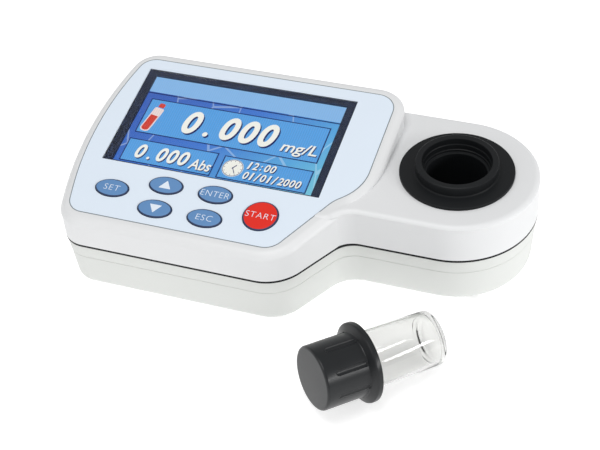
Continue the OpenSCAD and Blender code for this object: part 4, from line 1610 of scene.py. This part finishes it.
@dataclass
class Keypad:
    """Six domed keys, each with its dark rim and its legend."""

    sizes: Sizes = field(default_factory=Sizes)
    rise: float = 0.7
    lip: float = 1.2
    rim: float = 0.55
    stem_r: float = 2.0
    stem_foot: float = -6.9
    blue: Moulded = Moulded("key_blue", srgb(97, 141, 191), 0.36, 0.3, 0.004, 0.05, 0.05, 0.4)
    red: Moulded = Moulded("key_red", srgb(226, 42, 28), 0.3, 0.3, 0.004, 0.05, 0.08, 0.3)
    dark: Moulded = Moulded("key_rim", srgb(46, 60, 92), 0.45, 0.3, 0.004, 0.05, 0.0, 0.3)
    white: Moulded = Moulded("key_print", srgb(226, 235, 246), 0.45, 0.3, 0.002, 0.02)

    def cap_rings(self, name: str) -> list[Ring]:
        """The rings of a key, from its stem's foot to its crowned top.

        Args:
            name: The key's node.

        Returns:
            The rings.
        """
        wall, steps = self.sizes.wall, 64
        turns = [2 * math.pi * i / steps for i in range(steps)]
        stem = [(self.stem_r * math.cos(a), self.stem_r * math.sin(a)) for a in turns]
        levels = [(self.lip, -wall - 1.1), (self.lip, -wall - 0.05), (0, -wall - 0.05), (0, self.rise - 0.45),
                  (-0.05, self.rise - 0.28), (-0.18, self.rise - 0.15), (-self.rim, self.rise - 0.07),
                  (-self.rim - 0.8, self.rise - 0.02), (-self.rim - 1.8, self.rise)]
        rings = [[(x, y, self.stem_foot) for x, y in stem], [(x, y, -wall - 1.1) for x, y in stem]]
        rings += [[(x, y, level) for x, y in self.sizes.oval(name, grow, steps)] for grow, level in levels]
        return rings

    def arrow(self, name: str, up: bool) -> Object:
        """A small solid triangle.

        Args:
            name: The piece's name.
            up: Whether it points up.

        Returns:
            The triangle.
        """
        tip = 2.5 if up else -2.5
        outline = Outline([(-2.9, -tip * 0.8, 0.2), (2.9, -tip * 0.8, 0.2), (0, tip, 0.2)] if up else
                          [(0, tip, 0.2), (2.9, -tip * 0.8, 0.2), (-2.9, -tip * 0.8, 0.2)], 4)
        return Bench.stack(name, [outline.flat(0, 0), outline.flat(0.03, 0.04)])

    def build(self) -> None:
        """Builds each key and what is printed on it."""
        blue, red, dark, white = (f.material() for f in (self.blue, self.red, self.dark, self.white))
        for name, (x, v) in self.sizes.key_spots().items():
            cap = Bench.stack(f"{name}_cap", self.cap_rings(name))
            cap.data.materials.append(None)
            cap.data.materials.append(None)
            for face in cap.data.polygons:
                face.material_index = int(face.center.z / MM < self.rise - 0.05)
            Bench.place(cap, self.sizes.on_face(x, v))
            Bench.smooth(cap, 35)
            slot = "key_red" if name == "key_start" else "key_blue"
            settle(cap, name, [red if name == "key_start" else blue, dark], [name])
            legend = Legend[name].value
            if legend in ("up", "down"):
                mark = self.arrow(f"{name}_mark", legend == "up")
            else:
                width = {"SET": 7.4, "ENTER": 13.2, "ESC": 7.4, "START": 13.4}[legend]
                mark = Bench.lettering(f"{name}_mark", legend, width, 3.0, 0, -0.016, 1.1, 0.04)
            Bench.place(mark, self.sizes.on_face(x, v, self.rise - 0.015))
            settle(mark, name, white)


# ---------------------------------------------------------------- Sample well


@dataclass
class SampleWell:
    """The black insert that takes a vial: flange, collar, ledge and bore."""

    sizes: Sizes = field(default_factory=Sizes)
    bore: float = 13.2
    mouth: float = 15.1
    collar: float = 18.2
    flange: float = 25.1
    collar_h: float = 6.4
    floor: float = 18.5
    flange_t: float = 1.5
    beam_z: float = 30
    finish: Moulded = Moulded("well_black", srgb(22, 24, 26), 0.48, 0.45, 0.02, 0.15, 0.0, 0.2)

    def build(self) -> Object:
        """Turns the insert and drills the light path through it.

        Returns:
            The insert.
        """
        top = self.sizes.platform
        rim, face = top + self.collar_h, top + self.flange_t
        tube, mouth, spigot = self.bore + 2, self.mouth, self.collar - 0.2
        ledge = top - 0.7
        insert = Bench.turn("well_cup", [
            (0, self.floor - 2), (tube, self.floor - 2), (tube, top - 6), (spigot, top - 6), (spigot, top),
            (20.3, top), (20.3, top + 0.8), (21.7, top + 0.8), (21.7, top), (self.flange - 0.1, top),
            (self.flange, top + 0.1), (self.flange, face - 0.45), (self.flange - 0.12, face - 0.15),
            (self.flange - 0.45, face), (self.collar + 0.9, face), (self.collar + 0.35, face + 0.12),
            (self.collar, face + 0.5), (self.collar - 0.05, rim - 0.7), (self.collar - 0.2, rim - 0.25),
            (self.collar - 0.6, rim), (mouth + 0.55, rim), (mouth + 0.2, rim - 0.15), (mouth, rim - 0.5),
            (mouth, rim - 3.1), (mouth - 0.2, rim - 3.4), (mouth - 0.35, rim - 3.4),
            (mouth - 0.4, ledge + 1.4), (mouth - 0.7, ledge + 1.2), (mouth - 0.7, ledge + 0.15),
            (mouth - 0.85, ledge), (self.bore + 0.6, ledge), (self.bore + 0.2, ledge - 0.15),
            (self.bore, ledge - 0.5), (self.bore, self.floor + 0.4),
            (self.bore - 0.4, self.floor), (0, self.floor)], 128)
        beam = Bench.rod("beam", 0, 0, 2.5, -30, 30, 32)
        Bench.place(beam, Matrix.Translation((0, 0, self.beam_z * MM)) @ Matrix.Rotation(math.pi / 2, 4, "Y"))
        Bench.combine(insert, beam, Cut.REMOVE)
        Bench.close(insert)
        Bench.smooth(insert, 32, True)
        return settle(insert, "tester", self.finish.material(), ["well_insert"])


# ---------------------------------------------------------------- Vial


@dataclass
class Vial:
    """The glass vial with its black screw cap and white liner, lying in front of the tester."""

    heading: float = 47.6
    flange_face: Point = (-16.15, -90.15)
    glass: float = 12
    glass_len: float = 33.8
    flange: float = 17.1
    knob: float = 13.6
    knob_len: float = 19.4
    neck: float = 9.8
    wall: float = 1.0
    base: float = 2.7
    flange_t: float = 2.7
    cone_t: float = 1.3
    grips: int = 8
    liner_t: float = 1.4
    black: Moulded = Moulded("cap_black", srgb(29, 31, 33), 0.3, 0.5, 0.008, 0.1, 0.0, 0.32)
    white: Moulded = Moulded("liner_white", srgb(232, 232, 228), 0.6, 0.5, 0.02, 0.02)

    @property
    def neck_depth(self) -> float:
        """How far the glass reaches into the cap."""
        return self.knob_len - 2.8

    def place(self) -> Matrix:
        """The vial's axis: z = 0 at the flange, +z towards the base of the glass.

        Returns:
            The move and turn.
        """
        tilt = math.atan((self.flange - self.glass) / self.glass_len)
        start = Vector((*self.flange_face, self.flange * math.cos(tilt))) * MM
        return (Matrix.Translation(start) @ Matrix.Rotation(math.radians(self.heading), 4, "Z")
                @ Matrix.Rotation(math.pi / 2 + tilt, 4, "Y"))

    def build_glass(self) -> Object:
        """Turns the glass: thick base, thin wall, threaded neck.

        Returns:
            The glass.
        """
        r, n, depth, inner = self.glass, self.neck, self.neck_depth, self.glass - self.wall
        length, floor = self.glass_len, self.glass_len - self.base
        outside = [(0, length - 0.25), (r - 4, length - 0.2), (r - 2.2, length), (r - 0.9, length - 0.05),
                   (r - 0.25, length - 0.35), (r, length - 1), (r, 0.9), (r - 0.3, 0.1), (r - 1.2, -0.7),
                   (n + 0.3, -1.1), (n, -1.5)]
        for start in (-4, -7.4):
            outside += [(n, start), (n + 0.35, start - 0.25), (n + 0.5, start - 0.6),
                        (n + 0.35, start - 0.95), (n, start - 1.2)]
        outside += [(n, -depth + 0.4), (n - 0.3, -depth), (n - self.wall + 0.3, -depth),
                    (n - self.wall, -depth + 0.4), (n - self.wall, -1.4), (n - self.wall + 0.5, -0.4),
                    (inner - 0.6, 0.9), (inner, 2.0), (inner, floor - 0.4), (inner - 0.12, floor - 0.12),
                    (inner - 0.4, floor), (0, floor)]
        glass = Bench.turn("vial_tube", outside, 96)
        Bench.smooth(Bench.place(glass, self.place()), 40)
        return settle(glass, "vial", Clear("vial_glass_clear", (0.87, 0.872, 0.862), 1.47, 0.01).material(),
                      ["vial_glass"])

    def build_cap(self) -> Object:
        """Turns the cap and cuts its round-ended grips.

        Returns:
            The cap.
        """
        seat = -self.flange_t
        brim = seat - self.cone_t
        end = brim - self.knob_len
        liner_seat = -self.neck_depth - self.liner_t - 0.1
        k, f = self.knob, self.flange
        cap = Bench.turn("vial_screw_cap", [
            (0, end), (k - 1.3, end), (k - 0.7, end + 0.12), (k - 0.25, end + 0.45), (k, end + 1.1),
            (k, brim - 0.5), (k + 0.25, brim + 0.05), (f - 1.0, seat - 0.1), (f - 0.45, seat + 0.08),
            (f - 0.1, seat + 0.4), (f, seat + 0.8), (f, -0.5), (f - 0.12, -0.2), (f - 0.4, -0.1),
            (self.glass + 0.35, -0.1), (self.neck + 0.8, -2), (self.neck + 0.8, liner_seat),
            (0, liner_seat)], 128)
        for index in range(self.grips):
            groove = Bench.turn("groove", [
                (0, end + 4.6), (0.8, end + 4.8), (1.35, end + 5.3), (1.6, end + 6.2),
                (1.6, brim - 0.6), (1.0, brim + 0.1), (0, brim + 0.2)], 24)
            turn = Matrix.Rotation(2 * math.pi * index / self.grips, 4, "Z")
            Bench.place(groove, turn @ Matrix.Translation(((k + 0.9) * MM, 0, 0)))
            Bench.combine(cap, groove, Cut.REMOVE)
        Bench.close(cap)
        Bench.smooth(Bench.place(cap, self.place()), 32, True)
        return settle(cap, "cap", self.black.material(), ["vial_cap"])

    def build_liner(self) -> Object:
        """Turns the soft disc that seals the vial's mouth.

        Returns:
            The disc.
        """
        low, r = -self.neck_depth - 0.05 - self.liner_t, self.neck + 0.2
        liner = Bench.turn("cap_disc", [
            (0, low), (r - 0.2, low), (r, low + 0.2), (r, low + self.liner_t - 0.2),
            (r - 0.2, low + self.liner_t), (0, low + self.liner_t)], 64)
        Bench.smooth(Bench.place(liner, self.place()), 40)
        return settle(liner, "liner", self.white.material(), ["cap_liner"])

    def build(self) -> None:
        """Builds the vial's three pieces."""
        self.build_glass()
        self.build_cap()
        self.build_liner()


# ---------------------------------------------------------------- Back wall


@dataclass
class BackPanel:
    """The power switch with its rocker."""

    sizes: Sizes = field(default_factory=Sizes)
    rocker_w: float = 16.2
    rocker_h: float = 10.4
    tilt: float = 8
    black: Moulded = Moulded("switch_black", srgb(30, 30, 33), 0.35, 0.4, 0.01, 0.1, 0.0, 0.35)
    white: Moulded = Moulded("switch_print", srgb(235, 235, 232), 0.5, 0.3, 0.002, 0.02)

    def pivot(self) -> Vector:
        """The rocker's axis, from its joint."""
        return Vector(next(j for j in frame["joints"] if j["name"] == "rocker_tilt")["pos_m"])

    def build_frame(self) -> Object:
        """The switch body: a snap-in box with a bevelled flange and a well for the rocker.

        Returns:
            The switch body.
        """
        low, high = (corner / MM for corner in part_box("switch_body"))
        at = self.pivot() / MM
        face = self.sizes.end_r + 0.6
        body = Bench.box("switch_frame", (at.x - 9.5, low.y, at.z - 6.4),
                         (at.x + 9.5, face + 0.1, at.z + 6.4))
        flange = Bench.box("flange", (low.x, face, low.z), (high.x, high.y, high.z))
        Bench.round_edges(flange, 0.5, 4)
        Bench.combine(body, flange, Cut.JOIN)
        well = Bench.box("well", (at.x - self.rocker_w / 2 - 0.7, face - 7.5, at.z - self.rocker_h / 2 - 0.3),
                         (at.x + self.rocker_w / 2 + 0.7, face + 3, at.z + self.rocker_h / 2 + 0.3))
        Bench.combine(body, well, Cut.REMOVE)
        pin = Bench.rod("pin", at.x, at.y, 1.0, at.z - 7.4, at.z + 7.4)
        Bench.combine(body, pin, Cut.REMOVE)
        Bench.close(body)
        Bench.smooth(body, 30, True)
        return settle(body, "tester", self.black.material(), ["switch_body"])

    def build_rocker(self) -> None:
        """The rocker: a shallow V of two hollowed faces, on two pins, marked with a bar and a ring."""
        w, h = self.rocker_w / 2, self.rocker_h / 2
        points = [(-w, -1), (-3, -2.4), (3, -2.4), (w, -1), (w, 4.2), (w * 0.5, 4.35), (0, 5),
                  (-w * 0.5, 4.35), (-w, 4.2)]
        rocker = Bench.stack("switch_rocker", [[(x, y, level) for x, y in points] for level in (-h, h)])
        Bench.round_edges(rocker, 0.3, 3, 50)
        turn = Matrix.Rotation(math.radians(self.tilt), 4, "Z")
        Bench.place(rocker, Matrix.Translation(self.pivot()) @ turn)
        at = self.pivot() / MM
        Bench.combine(rocker, Bench.rod("pin", at.x, at.y, 0.9, at.z - 6.2, at.z + 6.2), Cut.JOIN)
        Bench.close(rocker)
        Bench.smooth(rocker, 32, True)
        settle(rocker, "rocker", self.black.material(), ["power_rocker"])
        print_white = self.white.material()
        bar = Bench.box("bar", (-0.3, -1.6, 0), (0.3, 1.6, 0.05))
        Bench.round_edges(bar, 0.02, 1)
        ring = Bench.turn("ring", [(1.2, 0), (1.75, 0), (1.75, 0.05), (1.2, 0.05)], 32, True)
        stand = Matrix.Rotation(-math.pi / 2, 4, "X")
        for name, mark, x in (("rocker_bar", bar, w * 0.62), ("rocker_ring", ring, -w * 0.62)):
            mark.name = name
            Bench.place(mark, Matrix.Translation(self.pivot()) @ turn
                        @ Matrix.Translation((x * MM, 4.27 * MM, 0)) @ stand)
            settle(mark, "rocker", print_white)

    def build(self) -> None:
        """Builds the switch."""
        self.build_frame()
        self.build_rocker()


# ---------------------------------------------------------------- Inner and small parts kept from the frame


@dataclass
class Innards:
    """Gives every part that keeps its frame shape a finish of its own."""

    def finishes(self) -> list[tuple[object, tuple[str, ...]]]:
        """Each finish with the nodes that take it.

        Returns:
            Pairs of a finish and its nodes.
        """
        return [
            (Moulded("seal_rubber", srgb(40, 41, 42), 0.65, 0.5, 0.03, 0.1), ("well_seal",)),
            (Metal("plated_steel", (0.62, 0.63, 0.65)),
             ("housing_screws", "board_screws", "cover_screws", "battery_contacts", "key_domes",
              "usb_port")),
            (Metal("gilt_can", (0.75, 0.6, 0.3), 0.28), ("board_standoffs", "light_sensor")),
            (Moulded("lcd_frame_paint", srgb(34, 36, 40), 0.4, 0.4, 0.01, 0.08), ("lcd_frame",)),
            (Moulded("diffuser_sheet", srgb(236, 240, 246), 0.5, 0.6, 0.01, 0.02),
             ("lcd_backlight",)),
            (Banded("flex_amber", (0.5, 0.22, 0.05), (0.62, 0.36, 0.1), 0.8), ("display_ribbon",)),
            (Board("board_green"), ("main_board", "sensor_board", "port_board")),
            (Moulded("chip_black", srgb(40, 41, 43), 0.5, 0.4, 0.02, 0.12),
             ("processor", "buzzer", "battery_tray", "lamp_holder")),
            (Moulded("optics_black", srgb(30, 30, 32), 0.8, 0.4, 0.03, 0.1), ("optics_block",)),
            (Clear("lens_glass", (0.97, 0.99, 1.0), 1.52, 0.01), ("beam_lens",)),
            (Clear("lamp_resin", (0.9, 0.95, 1.0), 1.5, 0.1), ("lamp",)),
            (Clear("filter_glass", (0.9, 0.5, 0.12), 1.52, 0.01), ("colour_filter",)),
            (Banded("cell_wrap", (0.02, 0.05, 0.25), (0.55, 0.42, 0.12), 33), ("battery_cells",)),
            (Banded("flat_cable", (0.3, 0.3, 0.32), (0.4, 0.4, 0.42), 1.0), ("sensor_cable",)),
        ]

    def dress(self) -> None:
        """Assigns each finish to its nodes' material slots."""
        for finish, nodes in self.finishes():
            material = finish.material()
            for name in nodes:
                node = frame["nodes"][name]
                node.data.materials.clear()
                node.data.materials.append(material)
                log.info("%s keeps its shape and is finished as %s", name, material.name)


# ---------------------------------------------------------------- Studio


@dataclass
class Studio:
    """A pale floor, soft light and the camera."""

    azimuth: float = 22.889
    elevation: float = 43.056
    roll: float = -5.248
    distance: float = 567.3
    target: Triple = (-63.076, -30.679, 27.5)
    lens: float = 76.865

    def build_camera(self) -> None:
        """Stands the camera off the target at its own angle and roll."""
        bpy.ops.object.camera_add()
        camera = bpy.context.object
        camera.name = "camera"
        camera.data.lens = self.lens
        camera.data.sensor_width = 36
        azimuth, elevation, roll = (math.radians(v) for v in (self.azimuth, self.elevation, self.roll))
        back = Vector((math.sin(azimuth) * math.cos(elevation), -math.cos(azimuth) * math.cos(elevation),
                       math.sin(elevation)))
        right = (-back).cross(Vector((0, 0, 1))).normalized()
        up = right.cross(-back)
        turned_right = right * math.cos(roll) + up * math.sin(roll)
        turned_up = up * math.cos(roll) - right * math.sin(roll)
        axes = Matrix((turned_right, turned_up, back)).transposed()
        place = (Vector(self.target) + back * self.distance) * MM
        camera.matrix_world = Matrix.Translation(place) @ axes.to_4x4()
        camera.data.clip_start = 0.01
        bpy.context.scene.camera = camera

    def build_floor(self) -> None:
        """A wide pale floor with a faint cloud in its paint."""
        bpy.ops.object.select_all(action="DESELECT")
        bpy.ops.mesh.primitive_plane_add(size=12, location=(-0.06, -0.03, -0.0002))
        floor = bpy.context.object
        floor.name = "studio_floor"
        shader = Shader("studio_white")
        cloud = shader.noise(400, 2)
        paint = shader.mix(cloud, (0.70, 0.70, 0.70), (0.72, 0.72, 0.72))
        glow = shader.mix(cloud, (0.96, 0.96, 0.96), (0.98, 0.98, 0.98))
        shader.dress(Base_Color=paint, Roughness=0.9, Emission_Color=glow, Emission_Strength=0.6)
        floor.data.materials.append(shader.material)

    def add_light(self, name: str, place: Sequence[float], aim: Sequence[float], size: Point,
                  power: float) -> None:
        """Hangs a soft light that points at a place; its size is its width and height in metres.

        Args:
            name: Its name.
            place: Where it hangs, in metres.
            aim: Where it points.
            size: Its width and height.
            power: Its power in watts.
        """
        bpy.ops.object.light_add(type="AREA", location=place)
        light = bpy.context.object
        light.name = name
        light.data.shape = "RECTANGLE"
        light.data.size, light.data.size_y = size
        light.data.energy = power
        aim_line = Vector(aim) - Vector(place)
        light.rotation_mode = "QUATERNION"
        light.rotation_quaternion = aim_line.to_track_quat("-Z", "Y")

    def build(self) -> None:
        """Sets up camera, floor and light."""
        scene = bpy.context.scene
        scene.view_settings.view_transform = "Standard"
        world = bpy.data.worlds.new("studio_air")
        scene.world = world
        world.use_nodes = True
        backdrop = world.node_tree.nodes["Background"]
        backdrop.inputs["Color"].default_value = (1, 1, 1, 1)
        backdrop.inputs["Strength"].default_value = 0.5
        aim = (-0.06, -0.03, 0.03)
        self.add_light("key_light", (1.1, -0.27, 0.5), aim, (0.8, 0.16), 5.0)
        self.add_light("fill_light", (-0.9, -0.8, 0.6), aim, (0.6, 0.6), 1.0)
        self.add_light("top_light", (-0.1, -0.3, 1.2), aim, (0.6, 0.6), 5.4)
        self.build_floor()
        self.build_camera()


def main() -> None:
    """Builds the studio and each sub-assembly in order."""
    logging.basicConfig(level=logging.INFO, format="%(name)s %(message)s", stream=sys.stdout)
    bpy.ops.object.select_all(action="DESELECT")
    for default in [o for o in bpy.data.objects if o.type in ("CAMERA", "LIGHT") or o.name == "Cube"]:
        bpy.data.objects.remove(default)
    Studio().build()
    housing = Housing()
    for assembly in (housing, Display(housing), Keypad(), SampleWell(), Vial(), BackPanel()):
        log.info("building %s", type(assembly).__name__)
        assembly.build()
    Innards().dress()


if __name__ == "__main__":
    main()
